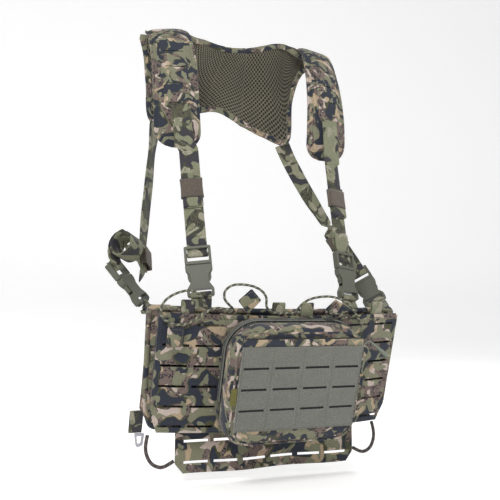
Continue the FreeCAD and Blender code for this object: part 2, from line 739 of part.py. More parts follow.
# Pulls in the panel's frame: points from the slider's bridge outwards.
PULL_RUNS = {
    "top": (((44.8, -40.2, 9.2), (52, -40.8, 10), (60, -41.5, 8.5), (68, -42, 4.6)),
            (1.1, 1.1, 1.1, 1.1)),
    "side": (((92, -40.2, -39.2), (96, -42, -31), (103, -45, -25), (127, -50.5, -42)),
             (1.1, 1.1, 2.0, 3.3)),
}


def make_pulls():
    for name, (points, radii) in PULL_RUNS.items():
        pull = solid_feature(f"zipper_pull_{name}", pull_solid(points, radii))
        pull.Placement = PANEL
        node(f"zipper_pull_{name}", pull)


def make_pouch_front():
    """The slip pocket on the lid, the slotted fastener field on it and a blank label."""
    front = LID_FRONT + 0.2
    slip = body("pouch_slip_pocket", PANEL * moved(0, -front, 0))
    outline = [(-76, -134, 22), (76, -134, 22), (76, -9, 7), (-76, -9, 7)]
    pad(slip, "panel", [outline], 1.8)
    node("pouch_slip_pocket", slip)
    field_rear = front + 1.8 + 0.1
    field = block("field", PANEL, (-76, -field_rear - 1.5, -120), 152, 1.5, "4 * <ladder_rise>")
    slots = []
    for column in range(4):
        for row in range(3):
            x = (column - 1.5) * size("ladder_pitch") - size("slot_length") / 2
            z = -120 + (row + 1) * size("ladder_rise") - 1.6
            slots.append(block("field_slot", PANEL, (x, -field_rear - 2, z), "<slot_length>",
                               3, "<slot_gap>"))
    node("fastener_field", cut("fastener_field", field, slots))
    node("blank_label", block("blank_label", PANEL, (-84, -field_rear - 0.9, -88), 7.5, 0.8, 21))


# ---- magazine retention -------------------------------------------------------------------

# Cord routes in the panel's frame, from inside a pocket's mouth to the knot at the free end.
RETENTION_ROUTES = {
    "left": [(-99, -12, -4), (-101, -11, 7), (-109, -12, 21), (-123, -16, 30), (-141, -23, 29),
             (-155, -24, 21), (-160, -23, 9), (-156, -22, -2), (-147, -21.5, -8),
             (-137, -22, -10.5), (-125, -22.5, -9), (-115, -24, 0), (-104, -26, 9),
             (-90, -26.5, 13), (-77, -25.5, 8)],
    "middle": [(-66, -15, -3), (-70, -18, 7), (-78, -23, 14), (-87, -26.5, 22), (-88, -27.3, 33),
               (-79, -27.5, 40), (-67, -27, 40.5), (-54, -27, 39), (-42, -27, 34), (-34, -27, 25),
               (-34, -26.5, 13), (-24, -25.3, 5.5), (-8, -25.2, 4.4), (9, -25.6, 6.2)],
    "right": [(10, -15, -3), (12, -16.5, 9), (24, -18.5, 21), (40, -25, 27), (56, -28, 27),
              (71, -29, 21), (81, -31, 12), (90, -30, 1), (99, -26.5, -10)],
}
KNOT_RADIUS = 2.6

# Pull tabs: the tab's outline (x, z, corner) in the panel's frame and its rear face.
TABS = {
    "left": ([(-149, -12.6, 1.5), (-129, -12.9, 1.5), (-129, -36, 3), (-149, -37, 3)], -22.4),
    "middle": ([(-56, 36.5, 3), (-42, 22.5, 3), (-57, 6, 3), (-71, 21.5, 3)], -29.4),
    "right": ([(56, 24.4, 1), (79, 11.6, 2), (62, 2.2, 4), (43, 11, 4)], -28.0),
}


def make_retention():
    """Shock cords over the magazines, each with a knot at its end and a fabric pull tab."""
    for name, route in RETENTION_ROUTES.items():
        tube = cord_tube(f"retention_cord_{name}", route, size("retention_cord"))
        knot = Part.makeSphere(KNOT_RADIUS, Vector(*route[-1]))
        cord = solid_feature(f"retention_cord_{name}", tube.fuse(knot), PANEL)
        node(f"retention_cord_{name}", cord)
        outline, rear = TABS[name]
        tab = body(f"pull_tab_{name}", PANEL)
        pad(tab, "tab", [outline], 1.6, -rear)
        node(f"pull_tab_{name}", tab)


# ---- lower flap ---------------------------------------------------------------------------

FLAP_Y = -80.0
FLAP_TOP = -534.5
SIDE_CORD_ROUTE = [(154.5, -77, -537), (157.5, -78, -548), (156.5, -79, -560), (150.5, -80.5, -571),
                   (140, -81, -576), (131.5, -81, -574), (123, -81, -569)]


def make_flap():
    """The slotted lower flap, hung from the panel's foot."""
    flap = body("lower_flap", moved(0, FLAP_Y, 0))
    half, low = size("flap_width") / 2, FLAP_TOP - size("flap_height") + 3.5
    outline = [(-half, FLAP_TOP, 0), (half, FLAP_TOP, 0), (half, low + 12, 1), (half - 10, low, 1),
               (10 - half, low, 1), (-half, low + 12, 1)]
    pad(flap, "flap", [outline], "<laminate>")
    slots = []
    for column in range(6):
        for row in range(2):
            x, z = (column - 2.5) * size("ladder_pitch"), -572 + row * size("ladder_rise")
            slots.append(rectangle(x - size("slot_length") / 2, x + size("slot_length") / 2,
                                   z - size("slot_gap") / 2, z + size("slot_gap") / 2,
                                   size("slot_gap") / 2))
    pocket(flap, "slots", slots, 4, -1, True)
    node("lower_flap", flap)


def make_side_cords():
    """Shock cords from the panel's lower corners to the flap's sides."""
    for side_name, side in SIDES:
        route = [(side * x, y, z) for x, y, z in SIDE_CORD_ROUTE]
        tube = cord_tube(f"side_cord_{side_name}", route, size("side_cord"))
        node(f"side_cord_{side_name}", solid_feature(f"side_cord_{side_name}", tube))


def check_and_export():
    """Stop if any object failed or any piece isn't a valid solid, then write the STEP files."""
    doc.recompute()
    failed = [o.Name for o in doc.Objects if {"Invalid", "Error"} & set(o.State)]
    if failed:
        raise ValueError(f"failed objects: {failed}")
    os.makedirs("parts", exist_ok=True)
    for name, feature in nodes.items():
        shape = feature.Shape
        if shape.isNull() or not shape.isValid() or not shape.Solids:
            raise ValueError(f"{name}: not a valid solid")
        shape.exportStep(f"parts/{name}.step")
    print(f"{len(nodes)} nodes written")


make_pads()
make_pad_strips()
make_yoke()
for buckle in BUCKLES:
    make_female(buckle)
    make_male(buckle)
    make_prongs(buckle)
    make_strap_loop(buckle, 34.0 if buckle == "rear_left" else SLEEVE_TOP)
make_front_straps()
make_rear_straps()
make_keepers_and_tails()
make_anchors()
make_back_panel()
make_front_panel()
make_pocket_walls()
make_webbing_loops()
make_corner_hook()
make_pouch()
make_zipper()
make_sliders()
make_pulls()
make_pouch_front()
make_retention()
make_flap()
make_side_cords()
check_and_export()
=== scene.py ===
"""The chest rig's looks: soft pieces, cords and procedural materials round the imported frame.

Helpers take millimetres in the row frame, or in the panel's own frame where they say so, and
hand metres to Blender. The panel's frame has -Y out of its front and +Z up along its slope.
"""
import math

import bpy
from mathutils import Matrix, Vector, noise


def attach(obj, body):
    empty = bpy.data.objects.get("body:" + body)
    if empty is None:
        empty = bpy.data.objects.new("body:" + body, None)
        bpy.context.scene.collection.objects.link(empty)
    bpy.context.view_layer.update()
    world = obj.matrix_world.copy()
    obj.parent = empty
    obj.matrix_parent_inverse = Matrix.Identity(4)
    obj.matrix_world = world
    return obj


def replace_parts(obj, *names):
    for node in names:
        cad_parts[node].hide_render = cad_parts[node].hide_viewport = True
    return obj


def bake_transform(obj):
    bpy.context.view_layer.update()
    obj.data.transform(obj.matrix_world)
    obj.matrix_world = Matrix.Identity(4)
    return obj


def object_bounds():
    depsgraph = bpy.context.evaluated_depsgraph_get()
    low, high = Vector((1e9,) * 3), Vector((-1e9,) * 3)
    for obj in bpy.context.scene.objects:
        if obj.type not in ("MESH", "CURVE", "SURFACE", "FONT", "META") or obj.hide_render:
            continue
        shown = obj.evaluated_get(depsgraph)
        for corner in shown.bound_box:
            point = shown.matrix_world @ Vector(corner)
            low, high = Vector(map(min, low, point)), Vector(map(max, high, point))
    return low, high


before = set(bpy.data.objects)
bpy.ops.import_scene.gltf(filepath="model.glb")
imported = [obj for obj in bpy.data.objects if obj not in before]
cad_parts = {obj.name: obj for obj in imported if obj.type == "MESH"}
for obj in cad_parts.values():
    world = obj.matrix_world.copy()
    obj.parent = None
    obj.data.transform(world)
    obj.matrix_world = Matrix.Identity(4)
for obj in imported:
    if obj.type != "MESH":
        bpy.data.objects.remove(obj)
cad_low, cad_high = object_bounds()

MM = 0.001
LEFT_RIGHT = (("left", -1), ("right", 1))
PANEL_TILT = math.radians(18.5)
PANEL_RADIUS = 970.0
PANEL_PLACE = Matrix.Translation((0, -128, -388.5)) @ Matrix.Rotation(PANEL_TILT, 4, "X")
WEBBING = 25.0
LADDER, RISE = 38.1, 25.4
SLOT_LONG, SLOT_HIGH = 31.0, 3.2


def at(x, y, z):
    """A point in row millimetres as a vector."""
    return Vector((x, y, z))


def panel(x, y, z):
    """A point in the panel's frame as a row vector, still in millimetres."""
    return PANEL_PLACE @ Vector((x, y, z))


def bow(x):
    """How far the curved panel lies behind its middle, x mm to the side."""
    return PANEL_RADIUS - math.sqrt(PANEL_RADIUS ** 2 - x ** 2)


def panel_way(x, y, z):
    """A direction in the panel's frame as a row vector."""
    return PANEL_PLACE.to_3x3() @ Vector((x, y, z))


PANEL_OUT, PANEL_BACK, PANEL_UP = panel_way(0, -1, 0), panel_way(0, 1, 0), panel_way(0, 0, 1)


# ---- materials ----------------------------------------------------------------------------

def rgb(red, green, blue):
    """A colour given in 8-bit display values, as linear values."""
    def linear(channel):
        c = channel / 255
        return c / 12.92 if c <= 0.04045 else ((c + 0.055) / 1.055) ** 2.4
    return (linear(red), linear(green), linear(blue), 1.0)


class Paint:
    """One procedural material, built node by node."""

    def __init__(self, name, roughness, specular=0.3, sheen=0.0, metallic=0.0):
        self.material = bpy.data.materials.new(name)
        self.material.use_nodes = True
        self.nodes = self.material.node_tree.nodes
        self.links = self.material.node_tree.links
        self.shader = self.nodes["Principled BSDF"]
        self.shader.inputs["Roughness"].default_value = roughness
        self.shader.inputs["Specular IOR Level"].default_value = specular
        self.shader.inputs["Sheen Weight"].default_value = sheen
        self.shader.inputs["Metallic"].default_value = metallic
        self.place = self.node("ShaderNodeTexCoord").outputs["Object"]

    def node(self, kind, inputs=(), **settings):
        """A node with some inputs set to values or linked from sockets."""
        made = self.nodes.new(kind)
        for name, setting in settings.items():
            setattr(made, name, setting)
        for name, given in dict(inputs).items():
            if isinstance(given, bpy.types.NodeSocket):
                self.links.new(given, made.inputs[name])
            else:
                made.inputs[name].default_value = given
        return made

    def weave_place(self):
        return self.node("ShaderNodeUVMap", uv_map="weave").outputs["UV"]

    def math(self, operation, a, b=0.0, c=0.0):
        return self.node("ShaderNodeMath", {0: a, 1: b, 2: c}, operation=operation).outputs[0]

    def vector(self, operation, a, b=(0, 0, 0), output=0):
        made = self.node("ShaderNodeVectorMath", {0: a, 1: b}, operation=operation)
        return made.outputs[output]

    def waves(self, where, scale, distortion=0.0, detail=2.0, bands="X"):
        """Stripes that follow one another along the X or Y of where."""
        made = self.node("ShaderNodeTexWave", {"Vector": where, "Scale": scale,
                                               "Distortion": distortion, "Detail": detail},
                         bands_direction=bands)
        return made.outputs["Fac"]

    def noise(self, scale, detail=1.0, where=None, shift=0.0, rough=0.5):
        """Noise of about one blob in 1/scale metres."""
        where = where or self.place
        if shift:
            where = self.vector("ADD", where, (shift, -shift, shift / 2))
        made = self.node("ShaderNodeTexNoise", {"Vector": where, "Scale": scale,
                                                "Detail": detail, "Roughness": rough})
        return made.outputs["Fac"]

    def step(self, value, low, high):
        """0 below low, 1 above high."""
        made = self.node("ShaderNodeMapRange", {"Value": value, "From Min": low,
                                                "From Max": high}, clamp=True)
        return made.outputs[0]

    def mix(self, factor, a, b, blend="MIX"):
        made = self.node("ShaderNodeMix", data_type="RGBA", blend_type=blend)
        for socket, given in zip((made.inputs[0], made.inputs[6], made.inputs[7]), (factor, a, b)):
            if isinstance(given, bpy.types.NodeSocket):
                self.links.new(given, socket)
            else:
                socket.default_value = given
        return made.outputs[2]

    def colour(self, socket):
        self.links.new(socket, self.shader.inputs["Base Color"])

    def bump(self, height, strength, distance):
        """Adds relief under whatever relief is there already."""
        inputs = {"Height": height, "Strength": strength, "Distance": distance}
        before = self.shader.inputs["Normal"]
        if before.is_linked:
            inputs["Normal"] = before.links[0].from_socket
        made = self.node("ShaderNodeBump", inputs)
        self.links.new(made.outputs["Normal"], before)

    def grain(self, colour, scale=1400, depth=0.22):
        """Thread-sized variation of a colour."""
        fleck = self.noise(scale, 0)
        shade = self.node("ShaderNodeMapRange", {"Value": fleck, "From Min": 0.25, "From Max": 0.75,
                                                 "To Min": 1 - depth, "To Max": 1 + depth})
        grey = self.node("ShaderNodeCombineColor", {0: shade.outputs[0], 1: shade.outputs[0],
                                                    2: shade.outputs[0]}).outputs[0]
        return self.mix(1.0, colour, grey, "MULTIPLY")


CAMO = {"sage": rgb(112, 112, 92), "mauve": rgb(104, 90, 84), "tan": rgb(158, 140, 116),
        "blush": rgb(172, 158, 148), "navy": rgb(40, 44, 54), "olive": rgb(64, 66, 44),
        "speck": rgb(42, 41, 47)}
WEBBING_CAMO = {"sage": rgb(126, 128, 104), "mauve": rgb(80, 80, 62), "tan": rgb(140, 138, 116),
                "blush": rgb(152, 148, 130), "navy": rgb(56, 54, 60), "olive": rgb(66, 68, 50),
                "speck": rgb(50, 47, 50)}


def blotches(paint, colours, scale):
    """A generic blotch print: soft-cornered blobs with outlines, over speckled ground."""
    swirl = paint.node("ShaderNodeTexNoise", {"Vector": paint.place, "Scale": 26 * scale,
                                              "Detail": 0.0}).outputs["Color"]
    push = paint.vector("SUBTRACT", swirl, (0.5, 0.5, 0.5))
    push = paint.node("ShaderNodeVectorMath", {0: push, "Scale": 0.045 / scale},
                      operation="SCALE").outputs[0]
    where = paint.vector("ADD", paint.place, push)
    edge = 0.006

    def region(blob_scale, shift, threshold):
        blob = paint.noise(blob_scale * scale, 0.6, where, shift)
        return blob, paint.step(blob, threshold - edge, threshold + edge)

    _, mauve = region(22, 0.31, 0.43)
    speck_cells = paint.node("ShaderNodeTexVoronoi", {"Vector": paint.place, "Scale": 380.0})
    speck = paint.math("MULTIPLY", paint.step(speck_cells.outputs["Distance"], 0.50, 0.42),
                       paint.step(paint.noise(90, 1.0), 0.42, 0.47))
    ground = paint.mix(speck, colours["mauve"], colours["speck"])
    colour = paint.mix(mauve, colours["sage"], ground)
    _, tan = region(34, 1.7, 0.60)
    _, blush = region(52, 2.9, 0.61)
    colour = paint.mix(tan, colour, colours["tan"])
    colour = paint.mix(blush, colour, colours["blush"])
    blob, navy = region(31, 4.3, 0.55)
    outline = paint.step(blob, 0.518, 0.526)
    colour = paint.mix(outline, colour, colours["olive"])
    colour = paint.mix(navy, colour, colours["navy"])
    _, islands = region(60, 6.1, 0.60)
    return paint.mix(islands, colour, colours["sage"])


def camo_fabric(name, scale=1.0, colours=CAMO):
    """Printed cloth with a fine weave and soft creases."""
    paint = Paint(name, 0.82, 0.25, 0.12)
    paint.colour(paint.grain(blotches(paint, colours, scale)))
    paint.bump(paint.noise(900, 0), 0.35, 0.0004)
    paint.bump(paint.noise(110, 2), 0.25, 0.0012)
    return paint.material


def camo_webbing(name, scale=1.3):
    """Woven tape: the print over ribs that run across it."""
    paint = Paint(name, 0.75, 0.3, 0.1)
    weave = paint.waves(paint.weave_place(), 330.0, 0.6, 1.0, "Y")
    colour = paint.grain(blotches(paint, WEBBING_CAMO, scale), 1100, 0.3)
    dark = paint.mix(1.0, colour, rgb(205, 205, 202), "MULTIPLY")
    paint.colour(paint.mix(paint.step(weave, 0.1, 0.6), dark, colour))
    paint.bump(weave, 0.5, 0.0004)
    return paint.material


def spacer_mesh(name):
    """Honeycomb spacer mesh: staggered dark holes between rounded threads."""
    paint = Paint(name, 0.8, 0.25, 0.15)
    pitch_x, pitch_y = 0.0058, 0.0062
    distance = None
    for shift in (0.0, 0.5):
        scaled = paint.vector("MULTIPLY", paint.weave_place(), (1 / pitch_x, 1 / pitch_y, 0))
        cell = paint.vector("FRACTION", paint.vector("ADD", scaled, (shift, shift, 0)))
        centred = paint.vector("SUBTRACT", cell, (0.5, 0.5, 0))
        length = paint.vector("LENGTH", centred, output=1)
        distance = length if distance is None else paint.math("MINIMUM", distance, length)
    thread = paint.step(distance, 0.21, 0.33)
    ground = paint.mix(paint.noise(16, 1.0), rgb(88, 84, 70), rgb(116, 110, 94))
    paint.colour(paint.grain(paint.mix(thread, rgb(26, 24, 20), ground), 900))
    paint.bump(thread, 0.8, 0.0009)
    return paint.material


def ribbed_elastic(name):
    """Brown elastic with ribs along its length."""
    paint = Paint(name, 0.85, 0.2, 0.2)
    ribs = paint.waves(paint.weave_place(), 300.0, 1.0)
    paint.colour(paint.grain(paint.mix(ribs, rgb(70, 62, 56), rgb(100, 92, 82)), 1200, 0.35))
    paint.bump(ribs, 0.5, 0.0004)
    return paint.material


def brushed_loops(name):
    """Loop fabric: matted grey-green fuzz."""
    paint = Paint(name, 0.95, 0.1, 0.5)
    fuzz = paint.noise(1000, 3, rough=0.7)
    patch = paint.noise(60, 2)
    colour = paint.mix(fuzz, rgb(56, 57, 52), rgb(130, 131, 122))
    colour = paint.mix(paint.step(patch, 0.35, 0.7), colour, rgb(98, 99, 92))
    paint.colour(paint.grain(colour, 1700, 0.3))
    paint.bump(fuzz, 0.9, 0.0008)
    paint.bump(paint.noise(420, 2), 0.5, 0.0008)
    return paint.material


def plain_weave(name, colour, roughness=0.85, scale=1100, depth=0.3):
    """Plain cloth, tape or thread of one colour, varied a little."""
    paint = Paint(name, roughness, 0.25, 0.15)
    tone = paint.mix(paint.noise(90, 2), tuple(0.8 * c for c in colour[:3]) + (1.0,), colour)
    paint.colour(paint.grain(tone, scale, depth))
    paint.bump(paint.noise(scale, 0), 0.5, 0.0004)
    return paint.material


def moulded_plastic(name, colour, roughness=0.5):
    """Matt plastic with a fine grain and pale scuffs."""
    paint = Paint(name, roughness, 0.4)
    scuff = paint.step(paint.noise(240, 4), 0.62, 0.75)
    tone = paint.mix(paint.noise(45, 2), tuple(0.86 * c for c in colour[:3]) + (1.0,), colour)
    lighter = tuple(min(1.0, 1.5 * c) for c in colour[:3]) + (1.0,)
    paint.colour(paint.mix(paint.math("MULTIPLY", scuff, 0.4), tone, lighter))
    paint.bump(paint.noise(1500, 1), 0.25, 0.0002)
    return paint.material


def braided(name, ground, fleck):
    """A braided sheath: diagonal threads that cross, some of them in another colour."""
    paint = Paint(name, 0.8, 0.25, 0.15)
    place = paint.weave_place()
    turned = [paint.node("ShaderNodeMapping", {"Vector": place, "Rotation": (0, 0, turn)})
              .outputs[0] for turn in (0.9, -0.9)]
    braid = paint.math("MAXIMUM", *(paint.waves(where, 210.0) for where in turned))
    stripe = paint.waves(turned[0], 52.0)
    colour = paint.mix(paint.step(stripe, 0.72, 0.8), ground, fleck)
    paint.colour(paint.mix(paint.step(braid, 0.15, 0.6), rgb(28, 27, 24), colour))
    paint.bump(braid, 0.6, 0.0004)
    return paint.material


def dull_metal(name):
    """Painted die-cast metal, worn in patches."""
    paint = Paint(name, 0.42, 0.5, metallic=0.75)
    paint.colour(paint.mix(paint.noise(500, 3), rgb(70, 72, 68), rgb(112, 114, 106)))
    paint.bump(paint.noise(1200, 1), 0.2, 0.0002)
    return paint.material


# A finish is a material and the record's slot that it usually stands for.
FABRIC = camo_fabric("camo_fabric", 1.45), "camo_fabric"
FABRIC_FINE = camo_fabric("camo_fabric_fine", 1.75), "camo_fabric"
# The print at 0.4 of its brightness: painted shade for the pouch's base and for the walls between
# the pockets, which lie in shade.
SHADED = {key: tuple(0.4 * c for c in shade[:3]) + (1.0,) for key, shade in CAMO.items()}
FABRIC_PAINTED_SHADE = camo_fabric("camo_fabric_painted_shade", 1.45, SHADED), "camo_fabric"
WEB = camo_webbing("camo_webbing"), "camo_webbing"
MESH = spacer_mesh("spacer_mesh"), "spacer_mesh"
ELASTIC = ribbed_elastic("brown_elastic"), "brown_elastic"
LOOPS = brushed_loops("loop_field"), "loop_field"
LINING = plain_weave("lining_fabric", rgb(66, 66, 54)), "lining_fabric"
# Near-black cloth used as painted shade: the shadow in the slip pocket's mouth and behind the loop
# field's slots.
PAINTED_SHADE_TAPE = plain_weave("painted_shade_tape", rgb(40, 38, 40)), "camo_fabric"
ZIP_TAPE = plain_weave("zipper_tape", rgb(104, 106, 100), 0.7, 900, 0.2), "zipper_tape"
ZIP_TEETH = moulded_plastic("zipper_teeth", rgb(70, 72, 66), 0.45), "zipper_tape"
THREAD = plain_weave("thread", rgb(66, 64, 46), 0.7), "camo_fabric"
PALE_THREAD = plain_weave("pale_thread", rgb(150, 138, 112), 0.7), "camo_fabric"
LABEL = plain_weave("label_olive", rgb(96, 92, 42), 0.6), "label_olive"
GRIP = moulded_plastic("pull_grip", rgb(112, 118, 106), 0.6), "pull_grip"
RETENTION = braided("retention_cord", rgb(84, 84, 72), rgb(150, 148, 128)), "retention_cord"
SIDE_CORD = braided("side_cord", rgb(72, 64, 64), rgb(98, 88, 86)), "side_cord"
# These are worn by solids of the frame, which have their slots already.
BUCKLE = moulded_plastic("buckle_plastic", rgb(84, 85, 73), 0.48)
HOOK = moulded_plastic("hook_plastic", rgb(168, 166, 176), 0.5)
METAL = dull_metal("slider_metal")


# ---- mesh helpers -------------------------------------------------------------------------

def add_object(name, data):
    """A new object for a mesh, curve, lamp or camera, in the scene."""
    made = bpy.data.objects.new(name, data)
    bpy.context.scene.collection.objects.link(made)
    return made


def finish_mesh(name, points, faces, uvs, finish, body="rig", slot=None, sharp=40):
    """An object from millimetre points, with its weave map, finish and body."""
    mesh = bpy.data.meshes.new(name)
    mesh.from_pydata([p * MM for p in points], [], faces)
    layer = mesh.uv_layers.new(name="weave")
    for loop in mesh.loops:
        layer.data[loop.index].uv = Vector(uvs[loop.vertex_index]) * MM
    mesh.polygons.foreach_set("use_smooth", [True] * len(mesh.polygons))
    mesh.update()
    mesh.set_sharp_from_angle(angle=math.radians(sharp))
    mesh.materials.append(finish[0])
    made = add_object(name, mesh)
    slot or finish[1]
    if body:
        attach(made, body)
    return made


def between(points, k, u):
    """The point a share u of the way from point k to the next, on a smooth line through all."""
    a, b, c, d = (points[max(k - 1, 0)], points[k], points[k + 1],
                  points[min(k + 2, len(points) - 1)])
    return 0.5 * (2 * b + (c - a) * u + (2 * a - 5 * b + 4 * c - d) * u * u
                  + (3 * b - a - 3 * c + d) * u ** 3)


def through(points, step):
    """A smooth line through points, about step mm from one to the next."""
    points = [Vector(p) for p in points]
    line = []
    for i in range(len(points) - 1):
        count = max(1, round((points[i + 1] - points[i]).length / step))
        line += [between(points, i, k / count) for k in range(count)]
    return line + [points[-1]]


def distances(points):
    """How far along a line each of its points lies."""
    far = [0.0]
    for a, b in zip(points, points[1:]):
        far.append(far[-1] + (b - a).length)
    return far


def whereabouts(far, distance):
    """The run of a line that holds a distance along it, and the share of that run gone by."""
    k = max(j for j in range(len(far) - 1) if far[j] <= distance)
    return k, min(1.0, (distance - far[k]) / max(1e-9, far[k + 1] - far[k]))


def flat_section(width, thick, crown=0.0):
    """A flat band's section with rounded edges, counter-clockwise."""
    half, r = width / 2, thick / 2
    section = []
    for side in (1, -1):
        for k in range(5):
            turn = math.pi * (k / 4 - 0.5) + (0 if side == 1 else math.pi)
            section.append((side * (half - r) + r * math.cos(turn), r * math.sin(turn)))
        for k in range(1, 6):
            x = side * (half - r) * (1 - k / 3)
            section.append((x, side * (r + crown * (1 - (x / half) ** 2))))
    return section


def oval_section(wide, deep, count=12):
    """An ellipse's section, a circle's where wide and deep are one."""
    return [(wide / 2 * math.cos(2 * math.pi * k / count),
             deep / 2 * math.sin(2 * math.pi * k / count)) for k in range(count)]


def sweep(name, path, across, section, finish, body="rig", slot=None, closed=False):
    """Sweeps a section along a path. across gives the section's x direction, one or per point.

    section may be one list of (x, y) points, or a list of such lists, one per point.
    """
    count = len(path)
    points, uvs, faces, far = [], [], [], distances(path)
    for i, centre in enumerate(path):
        before = path[i - 1] if i or closed else path[0]
        after = path[(i + 1) % count] if i < count - 1 or closed else path[-1]
        ahead = (after - before).normalized()
        side = Vector(across[i] if isinstance(across, list) else across)
        side = (side - ahead * side.dot(ahead)).normalized()
        lift = side.cross(ahead)
        ring = section[i] if isinstance(section[0], list) else section
        round_way = 0.0
        for k, (x, y) in enumerate(ring):
            if k:
                round_way += math.dist(ring[k], ring[k - 1])
            points.append(centre + side * x + lift * y)
            uvs.append((round_way, far[i]))
    size = len(points) // count
    for i in range(count if closed else count - 1):
        a, b = i * size, ((i + 1) % count) * size
        for k in range(size):
            n = (k + 1) % size
            faces.append((a + k, a + n, b + n, b + k))
    if not closed:
        faces.append(tuple(reversed(range(size))))
        faces.append(tuple(range((count - 1) * size, count * size)))
    return finish_mesh(name, points, faces, uvs, finish, body, slot)


def strap(name, stations, thick, body="rig"):
    """Webbing through (centre, across) stations, its side direction eased between them."""
    path = through([c for c, _ in stations], 5.0)
    sides = [Vector(a).normalized() for _, a in stations]
    far = distances([Vector(c) for c, _ in stations])
    spread = []
    for gone in distances(path):
        k, u = whereabouts(far, gone)
        spread.append(sides[k].lerp(sides[k + 1], u * u * (3 - 2 * u)))
    return sweep(name, path, spread, flat_section(WEBBING, thick), WEB, body)


def plate(name, grid, uv, thick, finish, body="rig", slot=None, keep=None):
    """A sheet over a grid of points, thick mm deep, with only the cells that keep allows."""
    rows, columns = len(grid), len(grid[0])
    normals = []
    for i in range(rows):
        for j in range(columns):
            along = grid[min(i + 1, rows - 1)][j] - grid[max(i - 1, 0)][j]
            side = grid[i][min(j + 1, columns - 1)] - grid[i][max(j - 1, 0)]
            normals.append(side.cross(along).normalized())
    flat = [p for row in grid for p in row]
    uvs = [uv(i, j) for i in range(rows) for j in range(columns)]
    size = len(flat)
    points = flat + [p - n * thick for p, n in zip(flat, normals)]
    faces, edges = [], {}
    for i in range(rows - 1):
        for j in range(columns - 1):
            if keep and not keep(i, j):
                continue
            a, b, c, d = (i * columns + j, i * columns + j + 1, (i + 1) * columns + j + 1,
                          (i + 1) * columns + j)
            faces += [(a, b, c, d), (a + size, d + size, c + size, b + size)]
            for e in ((a, b), (b, c), (c, d), (d, a)):
                edges[e] = True
    for a, b in edges:
        if (b, a) not in edges:
            faces.append((a, a + size, b + size, b))
    used = sorted({v for f in faces for v in f})
    new = {v: k for k, v in enumerate(used)}
    return finish_mesh(name, [points[v] for v in used], [tuple(new[v] for v in f) for f in faces],
                       [uvs[v % size] for v in used], finish, body, slot)


def cuts(low, high, marks, step):
    """Sorted grid lines from low to high, through every mark and no more than step apart."""
    lines = sorted({low, high, *[m for m in marks if low < m < high]})
    result = [lines[0]]
    for a, b in zip(lines, lines[1:]):
        count = max(1, math.ceil((b - a) / step))
        result += [a + (b - a) * k / count for k in range(1, count + 1)]
    return result


def slotted(name, place, low, high, slots, thick, finish, body="rig", slot=None, step=3.0):
    """A sheet with cut slots. place maps (x, z) to a row point; slots are (x, z, long, high)."""
    xs = cuts(low[0], high[0], [s[0] + e * s[2] / 2 for s in slots for e in (-1, 1)], step)
    zs = cuts(low[1], high[1], [s[1] + e * s[3] / 2 for s in slots for e in (-1, 1)], step)
    grid = [[place(x, z) for x in xs] for z in zs]

    def wanted(i, j):
        x, z = (xs[j] + xs[j + 1]) / 2, (zs[i] + zs[i + 1]) / 2
        return not any(abs(x - s[0]) < s[2] / 2 and abs(z - s[1]) < s[3] / 2 for s in slots)
    return plate(name, grid, lambda i, j: (xs[j], zs[i]), thick, finish, body, slot, wanted)


def outline(half, low, high, low_radius, high_radius, step=4.0):
    """Points (x, z) round a rounded rectangle, counter-clockwise from its foot's middle."""
    corners = [(half, low, low_radius, -90), (half, high, high_radius, 0),
               (-half, high, high_radius, 90), (-half, low, low_radius, 180)]
    points = [(0.0, low)]
    for x, z, radius, start in corners:
        sx, sz = (1 if x > 0 else -1), (1 if z == high else -1)
        centre = (x - sx * radius, z - sz * radius)
        for k in range(13):
            turn = math.radians(start + 90 * k / 12)
            points.append((centre[0] + radius * math.cos(turn),
                           centre[1] + radius * math.sin(turn)))
    closed = points + [points[0]]
    result = []
    for (ax, az), (bx, bz) in zip(closed, closed[1:]):
        count = max(1, round(math.dist((ax, az), (bx, bz)) / step))
        result += [(ax + (bx - ax) * k / count, az + (bz - az) * k / count) for k in range(count)]
    return result


def rings_mesh(name, rings, finish, body="rig", cap=True, thick=0.0):
    """A skin over rings of equal count, closed over the last ring if cap is set."""
    count = len(rings[0])
    points = [p for ring in rings for p in ring]
    ways, downs, faces = distances(rings[0]), distances([ring[0] for ring in rings]), []
    uvs = [(way, down) for down in downs for way in ways]
    for r in range(len(rings) - 1):
        for k in range(count):
            a, b = r * count + k, r * count + (k + 1) % count
            faces.append((a, b, b + count, a + count))
    if cap:
        middle = sum(rings[-1], Vector()) / count
        points.append(middle)
        uvs.append((0.0, downs[-1]))
        last = (len(rings) - 1) * count
        faces += [(last + k, last + (k + 1) % count, len(points) - 1) for k in range(count)]
    made = finish_mesh(name, points, faces, uvs, finish, body)
    if thick:
        skin = made.modifiers.new("skin", "SOLIDIFY")
        skin.thickness = thick * MM
        skin.offset = -1
    return made


def rumple(piece, amount, size, seed=0.0, pinned=None):
    """Moves points along their normals by smooth noise: amount mm high, size mm across."""
    for vertex in piece.data.vertices:
        where = vertex.co / (size * MM) + Vector((seed, seed * 2, -seed))
        share = pinned(vertex.co / MM) if pinned else 1.0
        vertex.co += vertex.normal * noise.noise(where) * amount * MM * share
    piece.data.update()


